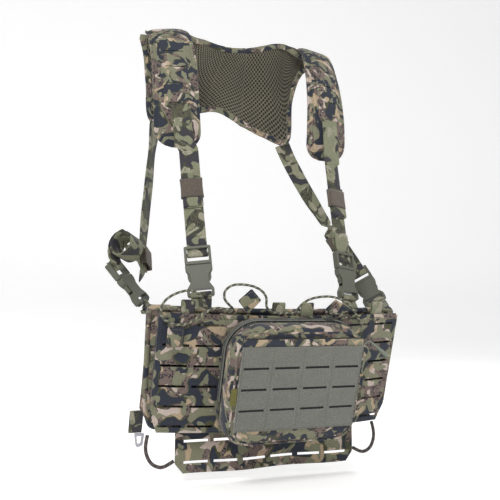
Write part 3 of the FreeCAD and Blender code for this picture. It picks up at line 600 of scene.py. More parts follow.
def stitches(name, path, lift, finish, body="rig", slot=None, pitch=3.2, width=0.55):
    """A row of raised stitches along a path; lift is the way out of the cloth."""
    points, faces, uvs, far = [], [], [], distances(path)

    def along(distance):
        k, u = whereabouts(far, distance)
        return path[k].lerp(path[k + 1], u), k
    for s in range(int(far[-1] / pitch)):
        (a, k), (b, _) = along(s * pitch), along(s * pitch + 0.68 * pitch)
        up = (lift(k) if callable(lift) else Vector(lift)).normalized()
        side = (b - a).cross(up).normalized() * width / 2
        middle = (a + b) / 2 + up * 0.35
        base = len(points)
        points += [a - up * 0.2, middle - side, b - up * 0.2, middle + side, middle - up * 0.8]
        uvs += [(0, 0), (1, 0), (0, 1), (1, 1), (0.5, 0.5)]
        faces += [(base, base + 3, base + 1), (base + 1, base + 3, base + 2),
                  (base, base + 1, base + 4), (base + 1, base + 2, base + 4),
                  (base + 2, base + 3, base + 4), (base + 3, base, base + 4)]
    return finish_mesh(name, points, faces, uvs, finish, body, slot, 180)


def route_line(points):
    """Points of the smooth line that a cord's route makes, in millimetres."""
    curve = bpy.data.curves.new("route", "CURVE")
    curve.dimensions = "3D"
    spline = curve.splines.new("NURBS")
    spline.points.add(len(points) - 1)
    for point, place in zip(spline.points, points):
        point.co = (*(place * MM), 1.0)
    spline.order_u = 3
    spline.use_endpoint_u = True
    curve.resolution_u = 8
    holder = add_object("route", curve)
    bpy.context.view_layer.update()
    mesh = bpy.data.meshes.new_from_object(holder)
    line = [v.co.copy() / MM for v in mesh.vertices]
    bpy.data.objects.remove(holder)
    return line


def rolling(path):
    """A side direction for each point of a path that turns no more than the path does."""
    ahead = (path[1] - path[0]).normalized()
    side = ahead.orthogonal().normalized()
    sides = []
    for i in range(len(path)):
        ahead = (path[min(i + 1, len(path) - 1)] - path[max(i - 1, 0)]).normalized()
        side = (side - ahead * side.dot(ahead)).normalized()
        sides.append(side)
    return sides


def rounded_outline(corners, per_edge=8, per_arc=6):
    """Points round a closed outline of (x, z, corner radius) corners."""
    arcs, count = [], len(corners)
    for i, (x, z, radius) in enumerate(corners):
        corner = Vector((x, z))
        back = (Vector(corners[i - 1][:2]) - corner).normalized()
        ahead = (Vector(corners[(i + 1) % count][:2]) - corner).normalized()
        turn = math.pi - back.angle(ahead)
        radius = max(radius, 0.2)
        reach = radius * math.tan(turn / 2)
        centre = corner + (back + ahead).normalized() * (radius / math.cos(turn / 2))
        start, finish = corner + back * reach - centre, corner + ahead * reach - centre
        arcs.append([centre + start.lerp(finish, k / per_arc).normalized() * radius
                     for k in range(per_arc + 1)])
    points = []
    for arc, following in zip(arcs, arcs[1:] + arcs[:1]):
        points += arc + [arc[-1].lerp(following[0], k / per_edge) for k in range(1, per_edge)]
    return points


def patch(name, loop, place, thick, puff, finish, body):
    """A small flat piece of cloth with the outline loop; place maps (x, z, lift) to a row point."""
    middle = sum(loop, Vector((0, 0))) / len(loop)
    shares = (0.15, 0.4, 0.65, 0.85, 0.95, 1.0)
    rings = []
    for lift, order in ((0.0, shares), (thick, shares[::-1])):
        for share in order:
            edge = 0.25 * thick if share == 1.0 else 0.0
            rise = lift + (puff * (1 - share ** 2) - edge if lift else edge)
            rings.append([place(*(middle + (p - middle) * share), rise) for p in loop])
    centre = sum(rings[0], Vector()) / len(loop)
    rings.insert(0, [centre + (p - centre) * 0.02 for p in rings[0]])
    return rings_mesh(name, rings, finish, body)


# ---- camera and stage ---------------------------------------------------------------------

CAMERA_PLACE = (-348.85, -912.92, -397.69)
CAMERA_RIGHT = (0.9315, -0.3636, 0.0)
CAMERA_UP = (-0.0357, -0.0915, 0.9951)
CAMERA_BACK = (-0.3619, -0.9270, -0.0982)


def make_camera():
    """The camera, which looks along minus CAMERA_BACK."""
    data = bpy.data.cameras.new("camera")
    data.lens, data.sensor_width = 49.9, 36.0
    camera = add_object("camera", data)
    turn = Matrix((CAMERA_RIGHT, CAMERA_UP, CAMERA_BACK)).transposed().to_4x4()
    camera.matrix_world = Matrix.Translation(at(*CAMERA_PLACE) * MM) @ turn
    bpy.context.scene.camera = camera


def area_light(name, place, target, size, power):
    """A square soft lamp at a place in metres, turned towards target."""
    data = bpy.data.lights.new(name, "AREA")
    data.size, data.energy = size, power
    lamp = add_object(name, data)
    lamp.location = place
    lamp.rotation_euler = (Vector(target) - Vector(place)).to_track_quat("-Z", "Y").to_euler()


def make_stage():
    """A pale floor that sweeps up behind, a white world and three soft lamps."""
    paint = Paint("floor", 0.9, 0.1)
    paint.shader.inputs["Base Color"].default_value = (0.86, 0.86, 0.86, 1)
    paint.shader.inputs["Emission Color"].default_value = (1, 1, 1, 1)
    paint.shader.inputs["Emission Strength"].default_value = 0.3
    points, faces = [], []
    profile = [(-6, 0), (-2, 0), (2.2, 0), (2.6, 0.08), (2.9, 0.3), (3.05, 0.7), (3.1, 1.4),
               (3.1, 5)]
    floor_z = cad_low.z - 0.012
    for x in (-6, 6):
        points += [Vector((x, y, floor_z + z)) for y, z in profile]
    for k in range(len(profile) - 1):
        faces.append((k, k + 1, k + 1 + len(profile), k + len(profile)))
    mesh = bpy.data.meshes.new("floor")
    mesh.from_pydata(points, [], faces)
    mesh.materials.append(paint.material)
    mesh.polygons.foreach_set("use_smooth", [True] * len(mesh.polygons))
    add_object("floor", mesh)
    world = bpy.data.worlds.new("world")
    world.use_nodes = True
    world.node_tree.nodes["Background"].inputs["Color"].default_value = (1, 1, 1, 1)
    world.node_tree.nodes["Background"].inputs["Strength"].default_value = 0.5
    bpy.context.scene.world = world
    bpy.context.scene.view_settings.view_transform = "Standard"
    area_light("key", (-1.0, -1.5, 1.0), (0, -0.1, -0.35), 0.8, 31)
    area_light("fill", (1.4, -1.2, 0.2), (0, -0.1, -0.35), 1.2, 8)
    area_light("rim", (0.4, 1.4, 1.2), (0, 0, -0.2), 1.0, 16)


# ---- cords --------------------------------------------------------------------------------

# The same routes as the solids: in the panel's frame for the first three, else in the row's.
RETENTION_ROUTES = {
    "left": [(-99, -12, -4), (-101, -11, 7), (-109, -12, 21), (-123, -16, 30), (-141, -23, 29),
             (-155, -24, 21), (-160, -23, 9), (-156, -22, -2), (-147, -21.5, -8),
             (-137, -22, -10.5), (-125, -22.5, -9), (-115, -24, 0), (-104, -26, 9),
             (-90, -26.5, 13), (-77, -25.5, 8)],
    "middle": [(-66, -15, -3), (-70, -18, 7), (-78, -23, 14), (-87, -26.5, 22), (-88, -27.3, 33),
               (-79, -27.5, 40), (-67, -27, 40.5), (-54, -27, 39), (-42, -27, 34), (-34, -27, 25),
               (-34, -26.5, 13), (-24, -25.3, 5.5), (-8, -25.2, 4.4), (9, -25.6, 6.2)],
    "right": [(10, -15, -3), (12, -16.5, 9), (24, -18.5, 21), (40, -25, 27), (56, -28, 27),
              (71, -29, 21), (81, -31, 12), (90, -30, 1), (99, -26.5, -10)],
}
SIDE_CORD_ROUTE = [(154.5, -77, -537), (157.5, -78, -548), (156.5, -79, -560), (150.5, -80.5, -571),
                   (140, -81, -576), (131.5, -81, -574), (123, -81, -569)]
RETENTION_DIAMETER, SIDE_DIAMETER = 3.0, 4.4


def make_knot(name, centre, ahead):
    """An overhand knot: a short cord that loops once round itself."""
    ahead = ahead.normalized()
    side = ahead.orthogonal().normalized()
    lift = ahead.cross(side)
    turns = []
    for k in range(24):
        t = 2 * math.pi * k / 24
        turns.append(centre + side * (1.0 * math.cos(t) + 0.7 * math.cos(2 * t))
                     + lift * (1.0 * math.sin(t) - 0.7 * math.sin(2 * t))
                     + ahead * 0.9 * math.sin(3 * t))
    return sweep(name, turns, rolling(turns), oval_section(2.6, 2.6, 10), RETENTION, closed=True)


def make_cords():
    """Three shock cords over the pockets with their knots, and the two side cords."""
    for name, route in RETENTION_ROUTES.items():
        line = route_line([panel(*p) for p in route])
        section = oval_section(RETENTION_DIAMETER, RETENTION_DIAMETER)
        cord = sweep(f"shock_cord_{name}", line, rolling(line), section, RETENTION)
        knot = make_knot(f"cord_knot_{name}", line[-1], line[-1] - line[-2])
        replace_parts(cord, f"retention_cord_{name}")
    for name, side in LEFT_RIGHT:
        line = route_line([at(side * x, y, z) for x, y, z in SIDE_CORD_ROUTE])
        section = oval_section(SIDE_DIAMETER, SIDE_DIAMETER)
        cord = sweep(f"side_shock_cord_{name}", line, rolling(line), section, SIDE_CORD, None)
        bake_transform(cord)
        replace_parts(cord, f"side_cord_{name}")


# ---- buckles and webbing ------------------------------------------------------------------

BUCKLES = {
    "front_left": ((-100.6, -106.8, -340.8), (-0.021, 0.2417, 0.97), (-0.309, -0.951, 0)),
    "front_right": ((101.7, -106.5, -342), (0.021, 0.2417, 0.97), (0.309, -0.951, 0)),
    "rear_left": ((-176, -48, -353), (-0.605, 0.154, 0.776), (-0.59, 0.571, -0.573)),
    "rear_right": ((173, -38, -352), (-0.12, 0.66, 0.74), (0.62, 0.6, -0.5)),
}
BUCKLE_FOOT = -32.0
STRAP_BACK = 2.0
STRAP_THICK = 2.6
STRAP_END = 53.0


def stand(centre, up, facing):
    """The place of something whose +Z is up and whose front, -Y, looks towards facing."""
    up = Vector(up).normalized()
    back = -Vector(facing)
    back = (back - up * back.dot(up)).normalized()
    side = back.cross(up)
    turn = Matrix((side, back, up)).transposed().to_4x4()
    return Matrix.Translation(Vector(centre)) @ turn


def sideways(place):
    """The +X direction of a place."""
    return place.to_3x3() @ Vector((1, 0, 0))


def wear(node, material):
    """Gives a solid of the frame its material."""
    node.data.materials.clear()
    node.data.materials.append(material)


def make_buckles():
    """Plastic for the buckles, and the webbing folded round each latch's bar."""
    for name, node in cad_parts.items():
        if name.startswith("buckle_") and name != "buckle_anchors":
            wear(node, BUCKLE)
    for name in BUCKLES:
        place = stand(*BUCKLES[name])
        top = 34.0 if name == "rear_left" else 59.0
        path = [(-0.4, z) for z in cuts(22.0, top, [], 5.0)[::-1]]
        path += [(2.0 - 2.4 * math.cos(math.pi * k / 8), 21.5 - 2.4 * math.sin(math.pi * k / 8))
                 for k in range(1, 8)]
        path += [(4.4, z) for z in cuts(22.0, top, [], 5.0)]
        line = [place @ Vector((0, y, z)) for y, z in path]
        fold = sweep(f"webbing_fold_{name}", line, sideways(place), flat_section(WEBBING, 1.1),
                     WEB, f"latch_{name}")
        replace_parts(fold, f"strap_loop_{name}")


def strap_points(name, heights):
    """Stations of the strap behind a buckle, at heights above its middle."""
    place = stand(*BUCKLES[name])
    return [(place @ Vector((0, STRAP_BACK, z)), sideways(place)) for z in heights]


# Which way the strap lies across at the left rear keeper.
KEEPER_WAY = (0.5, 0.86, 0)
REAR_RUNS = {
    "right": [((148, 42.5, -246), (0.8, 0.35, 0.3)), ((124, 51, -205), (0.85, 0.1, 0.5)),
              ((98, 56.5, -158), (0.87, 0, 0.5)), ((82, 55, -128), (0.87, -0.05, 0.45))],
    "left": [((-147, -1, -304), KEEPER_WAY), ((-142, 10, -262), (0.6, 0.8, 0)),
             ((-136, 18, -215), (0.6, 0.8, 0)), ((-130, 28, -168), (0.52, 0.85, 0)),
             ((-124, 35, -121.5), (0.72, 0.69, 0))],
}


def make_straps():
    """The two front straps and the two rear straps."""
    for name, side in LEFT_RIGHT:
        turn = math.radians(PAD_TURNS[3])
        across = (math.cos(turn), side * math.sin(turn), 0)
        run = strap_points(f"front_{name}", (STRAP_END, 90, 124, 170))
        run += [(at(side * x, y, z), across)
                for x, y, z in ((107, -62, -176), (109.5, -53.2, -134), (110, -50.4, -116))]
        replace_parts(strap(f"front_webbing_{name}", run, STRAP_THICK), f"front_strap_{name}")
    rear = {"right": strap_points("rear_right", (STRAP_END, 80, 108)),
            "left": [((-148, -12, -333), KEEPER_WAY)]}
    for name, run in rear.items():
        piece = strap(f"rear_webbing_{name}", run + REAR_RUNS[name], STRAP_THICK)
        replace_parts(piece, f"rear_strap_{name}")


ROLL_PLACE = stand((-178.5, -51, -308.5), (-0.728, -0.611, 0.309), (0, 0, 1))
ROLL_AXIS = ROLL_PLACE.to_3x3() @ Vector((0, 0, 1))
ROLL_INNER, ROLL_PITCH, ROLL_REACH, ROLL_STEPS = 13.9, 1.45, 19.4, 44
TAIL_THICK, KEEPER_WIDE = 1.3, 29


def make_slack():
    """The slack of the left rear strap: off the roll and back to its keeper."""
    strap("rear_slack", [((-167.5, -38, -305), -ROLL_AXIS), ((-162, -28, -309), -ROLL_AXIS),
                         ((-155, -18, -316), KEEPER_WAY), ((-149.5, -11, -326), KEEPER_WAY)], 1.4)


def make_latch_slack():
    """The strap from the left rear latch up over the roll."""
    place = stand(*BUCKLES["rear_left"])
    rise, centre = place.to_3x3() @ Vector((0, 0, 1)), ROLL_PLACE.translation
    out = place @ Vector((0, 0, 40)) - centre
    out = (out - ROLL_AXIS * out.dot(ROLL_AXIS)).normalized()
    way = 1 if ROLL_AXIS.cross(out).dot(rise) > 0 else -1
    run = [(place @ Vector((0, 6.0, z)), sideways(place)) for z in (27, 33)]
    for degrees in (15, 50, 85, 120):
        turned = Matrix.Rotation(way * math.radians(degrees), 3, ROLL_AXIS) @ out
        run.append((centre + turned * ROLL_REACH, ROLL_AXIS))
    strap("latch_slack", run, 1.3, "latch_rear_left")


def box_outline(left, low, right, high, radius, per_edge, per_arc):
    """A rounded rectangle's outline."""
    return rounded_outline([(left, low, radius), (right, low, radius), (right, high, radius),
                            (left, high, radius)], per_edge, per_arc)


def keeper(name, place, middle, wide, deep, high):
    """An elastic band round the strap, pulled in a little at its middle."""
    x0, y0, z0 = middle
    loop = box_outline(-wide / 2, -deep / 2, wide / 2, deep / 2, 1.6, 6, 4)
    rings = []
    for k in range(9):
        share = k / 8
        squeeze = 1 - 0.035 * math.sin(math.pi * share)
        z = z0 + (share - 0.5) * high
        rings.append([place @ Vector((x0 + p.x * squeeze, y0 + p.y * (2 - squeeze), z))
                      for p in loop])
    return rings_mesh(name, rings, ELASTIC, cap=False, thick=1.0)


def make_keepers_and_tails():
    """Elastic keepers, the strap ends tucked into them, the pointed end and the roll."""
    keepers, tails = [], []
    for name, _ in LEFT_RIGHT:
        place = stand(*BUCKLES[f"front_{name}"])
        keepers.append(keeper(f"front_keeper_{name}", place, (0, 0.9, 110.5), KEEPER_WIDE, 7.6, 25))
        for index, (low, high, y) in enumerate(((83.5, 127, -0.9), (85, 97, -2.4))):
            line = [place @ Vector((0.6 * index, y + 0.25 * math.sin(z / 7), z))
                    for z in cuts(low, high, [], 4.0)]
            tails.append(sweep(f"tucked_tail_{name}_{index}", line, sideways(place),
                               flat_section(WEBBING, TAIL_THICK), WEB))
    place = stand(*BUCKLES["rear_right"])
    keeper("rear_keeper_right", place, (0, 2.0, 95), KEEPER_WIDE, 6.4, 22)
    place = stand((-148, -7, -319), (0.03, 0.36, 0.93), (-0.86, 0.5, 0))
    keeper("rear_keeper_left", place, (0, 2.6, 0.5), KEEPER_WIDE, 12, 25)
    point = [at(-147, -9, -331), at(-149.5, -10, -338), at(-151.5, -11, -344),
             at(-153.5, -12, -350)]
    widths = (23, 21, 12, 2)
    sweep("pointed_tail", point, KEEPER_WAY, [flat_section(w, TAIL_THICK) for w in widths], WEB)
    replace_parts(keepers[0], "strap_keepers")
    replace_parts(tails[0], "strap_tails")
    spiral = []
    for k in range(90):
        turn = 2 * math.pi * k / ROLL_STEPS
        radius = ROLL_INNER + ROLL_PITCH * k / ROLL_STEPS
        spiral.append(ROLL_PLACE @ Vector((radius * math.cos(turn), radius * math.sin(turn), 0)))
    sweep("rolled_tail", spiral, ROLL_AXIS, flat_section(WEBBING, TAIL_THICK), WEB)


def make_anchors():
    """Webbing from each socket's bar down behind the panel's top edge."""
    made = []
    for name in BUCKLES:
        side = -1 if name.endswith("left") else 1
        x = 101 if name.startswith("front") else 150
        place = stand(*BUCKLES[name])
        across = sideways(place)
        loop = box_outline(-3.5, BUCKLE_FOOT - 1.2, 3.5, BUCKLE_FOOT + 5.4, 1.6, 4, 4)
        ring = [place @ Vector((0, p.x, p.y)) for p in loop]
        made.append(sweep(f"anchor_loop_{name}", ring, across, flat_section(WEBBING, 0.9), WEB,
                          closed=True))
        sewn = panel_way(1, side * x / PANEL_RADIUS, 0)
        if name.startswith("rear"):
            sewn = -sewn
        run = [(place @ Vector((0, 0, BUCKLE_FOOT - 1.4)), across)]
        if name == "rear_left":
            run += [(place @ Vector((0, 0, BUCKLE_FOOT - 12)), across), ((-150, -80, -392), sewn)]
        rear = bow(x) + 1.4
        run += [(panel(side * x, rear + y, z), sewn) for y, z in ((4, 1), (0, -8), (0, -34))]
        strap(f"anchor_strip_{name}", run, 1.5)
    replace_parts(made[0], "buckle_anchors")


# ---- harness ------------------------------------------------------------------------------

PAD_RUN = [(108, -43, -172), (109, -43.5, -160), (110.5, -43, -135), (112, -38, -95),
           (112.5, -29, -58), (113.5, -15, -25), (115, 0, -3), (115.5, 11, 5)]
PAD_TURNS = (4, 4, 5, 8, 11, 14, 16, 18)
HARNESS_SHIFT = -3.0
TIP_LENGTH, TIP_POWER = 26.0, 2.6
PAD_WIDE, PAD_TAPER = 60, 3.5
PAD_DEEP, PAD_FLAT, PAD_POWER = 5.6, 0.5, 3.2


def pad_line(side):
    """The pad's middle line from tip to shoulder, its side directions and its widths."""
    lowest = PAD_RUN[0][2]
    centres = [at(side * x + HARNESS_SHIFT * max(0.0, z / lowest), y, z) for x, y, z in PAD_RUN]
    line = through(centres, 3.0)
    sides, widths, far = [], [], distances(line)
    total = far[-1]
    for gone in far:
        place = min(len(PAD_TURNS) - 1.001, (len(PAD_TURNS) - 1) * gone / total)
        k = int(place)
        turn = math.radians(PAD_TURNS[k] + (PAD_TURNS[k + 1] - PAD_TURNS[k]) * (place - k))
        sides.append(Vector((math.cos(turn), side * math.sin(turn), 0)))
        tip = max(0.0, 1 - (gone + 0.4) / TIP_LENGTH) ** TIP_POWER
        widths.append(PAD_WIDE * (1 - tip) ** (1 / TIP_POWER) - PAD_TAPER * gone / total)
    return line, sides, widths


def lens_section(width, front, rear, power):
    """A crowned section: front and rear heights at the middle, thin at its edges."""
    section = []
    for sign, height in ((1, front), (-1, rear)):
        for k in range(12):
            a = sign * math.cos(math.pi * k / 12)
            rise = (1 - abs(a) ** power) ** 0.6
            section.append((a * width / 2, sign * max(0.35, height * rise)))
    return section


def make_pads():
    """Each pad's crowned cover and lining, its bound edge, its cut-slot strip and stitching."""
    for name, side in LEFT_RIGHT:
        line, sides, widths = pad_line(side)
        covers = [lens_section(w, PAD_DEEP, PAD_FLAT, PAD_POWER) for w in widths]
        cover = sweep(f"pad_camo_{name}", line, sides, covers, FABRIC_FINE)
        rumple(cover, 0.9, 22, 3.0 + side)
        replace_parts(cover, f"pad_cover_{name}")
        linings = [lens_section(w + 1, PAD_FLAT, PAD_DEEP, PAD_POWER) for w in widths]
        lining = sweep(f"pad_mesh_{name}", line, sides, linings, MESH)
        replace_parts(lining, "pad_lining", "pad_foam")
        edge = [p - s * w / 2 for p, s, w in zip(line[::-1], sides[::-1], widths[::-1])]
        edge += [p + s * w / 2 for p, s, w in zip(line, sides, widths)]
        ways = [(b - a).normalized() for a, b in zip(edge, edge[1:])]
        across = [w.cross(Vector((0, 1, 0.4))).normalized() for w in ways + ways[-1:]]
        sweep(f"pad_binding_{name}", edge, across, oval_section(3.6, 4.6), FABRIC_FINE)
        make_pad_strip(name, line, sides)
        rim = pad_inset(line, sides, widths, 5.0, 4.4)
        stitches(f"pad_stitches_{name}", rim, (0, -1, 0.2), THREAD)


def pad_inset(line, sides, widths, inset, lift):
    """A line on the pad's front, inset from its edge, down one side and up the other."""
    rim = []
    for order, sign in ((slice(None, 3, -1), -1), (slice(4, None), 1)):
        for p, s, w in zip(line[order], sides[order], widths[order]):
            front = s.cross(Vector((0, 0, 1)))
            rim.append(p + s * sign * (w / 2 - inset) + front * (lift if front.y < 0 else -lift))
    return rim


def make_pad_strip(name, line, sides):
    """The cut-slot strip along a pad."""
    far = distances(line)
    start, finish = far[-1] - 134.0, far[-1] - 22.0

    def place(x, s):
        k, u = whereabouts(far, s)
        point, side = line[k].lerp(line[k + 1], u), sides[k].lerp(sides[k + 1], u)
        ahead = (line[k + 1] - line[k]).normalized()
        return point + side * x + side.cross(ahead).normalized() * (6.9 - 0.0022 * x * x)
    slots = [(0, start + share * (finish - start), 26, 1.8) for share in (0.24, 0.47, 0.7, 0.93)]
    strip = slotted(f"pad_strip_{name}", place, (-17, start), (17, finish), slots, 1.0,
                    FABRIC_FINE, step=5.0)
    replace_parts(strip, "pad_slot_strips")


YOKE_EDGES = [((-89, 13.5, 4), (-148, 28, 1)), ((-82, 18.5, 8), (-141, 31, -25)),
              ((-68, 28, 9), (-136, 36, -65)), ((-52, 32, 9), (-128, 37, -118)),
              ((-32, 36, 7), (-74, 44, -99)), ((-6, 38.5, 6.5), (-28, 47, -89)),
              ((20, 38, 9), (18, 51, -106)), ((43, 34, 14), (52, 53, -118)),
              ((60, 29, 18), (90, 51, -124)), ((73, 23, 17), (94, 45, -60)),
              ((82, 17, 11), (108, 32, -16)), ((89, 13.5, 5), (146, 27.5, 2))]
YOKE_SEAMS = (4.6, 5.9)


def make_yoke():
    """Mesh in front, camouflage cover behind, bound edges and two sewn channels."""
    count, rows = 12, 26
    columns = (len(YOKE_EDGES) - 1) * count

    def edge(points, share):
        k = min(int(share), len(points) - 2)
        return between(points, k, share - k)
    necks, lows = ([Vector(p[i]) for p in YOKE_EDGES] for i in (0, 1))

    def surface(share, down):
        """A point of the yoke; it dips between its edges and puckers at its seams."""
        top, foot = edge(necks, share), edge(lows, share)
        point = top.lerp(foot, down)
        belly = 4 * down * (1 - down)
        fold = 2.6 * math.sin(share * 3.1 + 2.2 * down) * belly
        seam = sum(1.6 * math.exp(-((share - s) / 0.09) ** 2) for s in YOKE_SEAMS)
        crease = 3.0 * math.exp(-(((share - 7.9) + 1.1 * (1 - down)) / 0.22) ** 2) * down * belly
        return point + Vector((0, 5.0 * belly + fold + seam - crease, 0))

    def layer(name, depth, thick, finish):
        grid = [[surface(j / count, 1 - i / rows) + Vector((0, depth, 0))
                 for j in range(columns + 1)] for i in range(rows + 1)]
        ways = distances(grid[rows // 2])
        return plate(name, grid, lambda i, j: (ways[j], i * 4.4), thick, finish)
    front = layer("yoke_spacer_mesh", -2.6, 3.4, MESH)
    back = layer("yoke_camo_back", 0.9, 1.6, FABRIC)
    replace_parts(front, "yoke_mesh")
    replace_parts(back, "yoke_cover")
    loop = [surface(j / count, 0.0) for j in range(columns + 1)]
    loop += [surface(columns / count, i / rows) for i in range(1, rows)]
    loop += [surface(j / count, 1.0) for j in range(columns, -1, -1)]
    loop += [surface(0.0, i / rows) for i in range(rows - 1, 0, -1)]
    middle = at(-20, 42, -45)
    across = [(middle - p).normalized() for p in loop]
    inner = [p + a * 2.2 for p, a in zip(loop, across)]
    sweep("yoke_binding", inner, across, oval_section(9.0, 6.6), FABRIC_FINE, closed=True)
    for index, share in enumerate(YOKE_SEAMS):
        line = [surface(share, 0.06 + 0.88 * k / 20) + Vector((0, -2.7, 0)) for k in range(21)]
        stitches(f"yoke_seam_{index}", line, (0, -1, 0), PALE_THREAD, slot="spacer_mesh",
                 pitch=3.4, width=0.9)


# ---- panel, pockets and webbing -----------------------------------------------------------

def soft_wave(x, z, size, seed):
    """Smooth noise from -1 to 1, size mm across."""
    return noise.noise(Vector((x / size, z / size, seed)))


def cut_corner(x, z, half, foot_half, low, cut_high, free):
    """x drawn in beyond free, so that a rectangle's lower corners become slanting cuts."""
    if z > cut_high or abs(x) < free:
        return x
    reach = half - (half - foot_half) * (cut_high - z) / (cut_high - low)
    return math.copysign(free + (abs(x) - free) * (reach - free) / (half - free), x)


def make_back_panel():
    """The padded back: one skin over its front and rear with a soft edge, and its binding."""
    corners = [(-165, -127, 9), (-151, -151, 7), (151, -151, 7), (165, -127, 9), (165, 0, 5),
               (-165, 0, 5)]
    loop = rounded_outline(corners, 34, 5)
    middle, thick = Vector((0, -75.5)), 5.0
    rings = []
    for share, y in ((0.06, 0), (0.5, 0), (0.86, 0), (0.97, -0.4), (0.995, -1.6),
                     (1.0, -thick / 2), (0.995, 1.6 - thick), (0.97, 0.4 - thick),
                     (0.86, -thick), (0.5, -thick), (0.06, -thick)):
        shrunk = (middle + (q - middle) * share for q in loop)
        rings.append([panel(p.x, y + bow(p.x), p.y) for p in shrunk])
    board = rings_mesh("padded_panel", rings, FABRIC)
    rumple(board, 0.5, 30, 2.0)
    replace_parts(board, "back_panel")
    corners = [(-164, 0, 6), (164, 0, 6), (159, -127, 9), (150, -150, 8), (-150, -150, 8),
               (-159, -127, 9)]
    loop = [panel(p.x, -2.5 + bow(p.x), p.y) for p in rounded_outline(corners, 26, 5)]
    middle = panel(0, -2.5, -75)
    across = [(middle - p).normalized() for p in loop]
    sweep("panel_binding", loop, across, oval_section(7.0, 7.4), FABRIC_FINE, closed=True)


LAMINATE_HALF, LAMINATE_LOW, LAMINATE_FRONT = 158, -146, -26.9
LAMINATE_COLUMNS, LAMINATE_ROWS, LAMINATE_TOP_ROW = (97.75, 135.85), 6, -10.9


def laminate_point(x, z, lift=0.0):
    """The laminate's front as a row point, with its cut corners and its soft waves."""
    x = cut_corner(x, z, LAMINATE_HALF, 149, LAMINATE_LOW, -122, 144)
    return panel(x, LAMINATE_FRONT + bow(x) - lift + 0.45 * soft_wave(x, z, 42, 8.0), z)


def make_laminate():
    """The slotted front sheet, its stitching and its bound top edge."""
    slots = [(side * x, LAMINATE_TOP_ROW - RISE * row, SLOT_LONG, SLOT_HIGH)
             for _, side in LEFT_RIGHT for x in LAMINATE_COLUMNS for row in range(LAMINATE_ROWS)]
    sheet = slotted("laminate_panel", laminate_point, (-LAMINATE_HALF, LAMINATE_LOW),
                    (LAMINATE_HALF, -0.5), slots, 1.6, FABRIC)
    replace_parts(sheet, "front_panel")
    for side_name, side in LEFT_RIGHT:
        for x in (81.0, 155.0):
            line = [laminate_point(side * x, -3 - 2.0 * k, 0.1) for k in range(60)]
            stitches(f"laminate_stitch_{side_name}_{int(x)}", line, PANEL_OUT, THREAD)
    foot = [laminate_point(x, -142.5, 0.1) for x in range(-146, 147, 4)]
    stitches("laminate_stitch_foot", foot, PANEL_OUT, THREAD)
    edges = [laminate_point(x, -0.8, -0.8) for x in range(-157, 158, 4)]
    sweep("laminate_binding", edges, PANEL_UP, oval_section(6.0, 3.2), FABRIC_FINE)


POCKET_REAR, POCKET_FRONT = -5.4, -24.9
POCKET_WALLS = (-155, -79, 0, 79, 155)


def make_pockets():
    """Cloth walls between the pockets and the floor under them."""
    made = []
    for index, x in enumerate(POCKET_WALLS):
        low = -143.5 if x in POCKET_WALLS[1:-1] else -120
        rear, front = bow(x) + POCKET_REAR, bow(x) + POCKET_FRONT
        grid = []
        for i in range(31):
            z = low + (-4 - low) * i / 30
            row = []
            for j in range(9):
                y = rear + (front - rear) * j / 8
                row.append(panel(x + 1.2 * math.sin(math.pi * j / 8) * soft_wave(y, z, 30, index)
                                 + 0.6, y, z))
            grid.append(row)
        # The walls wear the darkened print: painted shade for the inside of the pockets.
        made.append(plate(f"pocket_wall_{index}", grid, lambda i, j: (j * 2.4, i * 4.0), 1.2,
                          FABRIC_PAINTED_SHADE))
    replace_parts(made[0], "pocket_walls")
    grid = []
    for j in range(9):
        y = POCKET_REAR - 19.2 * (1 - j / 8)
        grid.append([panel(x, y + bow(x), -144.2 - 0.5 * math.sin(math.pi * j / 8))
                     for x in range(-148, 149, 8)])
    floor = plate("pocket_floor_cloth", grid, lambda i, j: (j * 8.0, i * 2.4), 1.4, FABRIC)
    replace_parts(floor, "pocket_floor")


TAPE_WIDE = 16


def make_webbing_loops():
    """Short folded tapes at the panel's top edge and lower corners."""
    made = []
    for x in (-125, -15, 23, 125):
        rise = bow(x)
        path = [(-23.0, -4), (-23.1, 4), (-22.9, 12), (-22.4, 16.2), (-21.2, 16.8), (-20.2, 15.6),
                (-19.9, 9), (-19.8, 1)]
        line = through([panel(x, y + rise, z) for y, z in path], 2.5)
        made.append(sweep(f"top_tape_{x}", line, (1, x / PANEL_RADIUS, 0),
                          flat_section(TAPE_WIDE, 1.2), WEB))
    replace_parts(made[0], "webbing_loops")
    for name, x in (("left", -166.5), ("right", 150)):
        path = [(15.2, -132), (15.0, -140), (15.3, -152), (15.9, -159.4), (17.2, -160.9),
                (18.4, -159.2), (18.8, -150), (18.9, -133)]
        line = through([panel(x, y, z) for y, z in path], 2.5)
        sweep(f"corner_tape_{name}", line, (1, 0, 0), flat_section(TAPE_WIDE, 1.3), WEB)


# ---- pouch and zipper ---------------------------------------------------------------------

POUCH_HALF, POUCH_LOW, POUCH_MIDDLE = 83.0, -142.0, -71
POUCH_RADII = (28, 35)


def pouch_ring(inset, depth, waves=0.0, step=4.0):
    """The pouch's outline drawn in by inset at y = depth."""
    low_radius, high_radius = (max(3.0, r - inset) for r in POUCH_RADII)
    points = outline(POUCH_HALF - inset, POUCH_LOW + inset, -inset, low_radius, high_radius, step)
    ring = []
    for x, z in points:
        push = waves * soft_wave(x, z + depth * 1.6, 26, 5.0)
        out = Vector((x, z - POUCH_MIDDLE)).normalized()
        ring.append(panel(x + out.x * push, depth, z + out.y * push))
    return ring


def same_count(rings, count=132):
    """Rings with one point count, spread evenly by length and started at the foot's middle."""
    result = []
    for ring in rings:
        closed = ring + [ring[0]]
        far, even, k = distances(closed), [], 0
        for n in range(count):
            target = far[-1] * n / count
            while far[k + 1] < target:
                k += 1
            even.append(closed[k].lerp(closed[k + 1], (target - far[k]) / (far[k + 1] - far[k])))
        result.append(even)
    return result


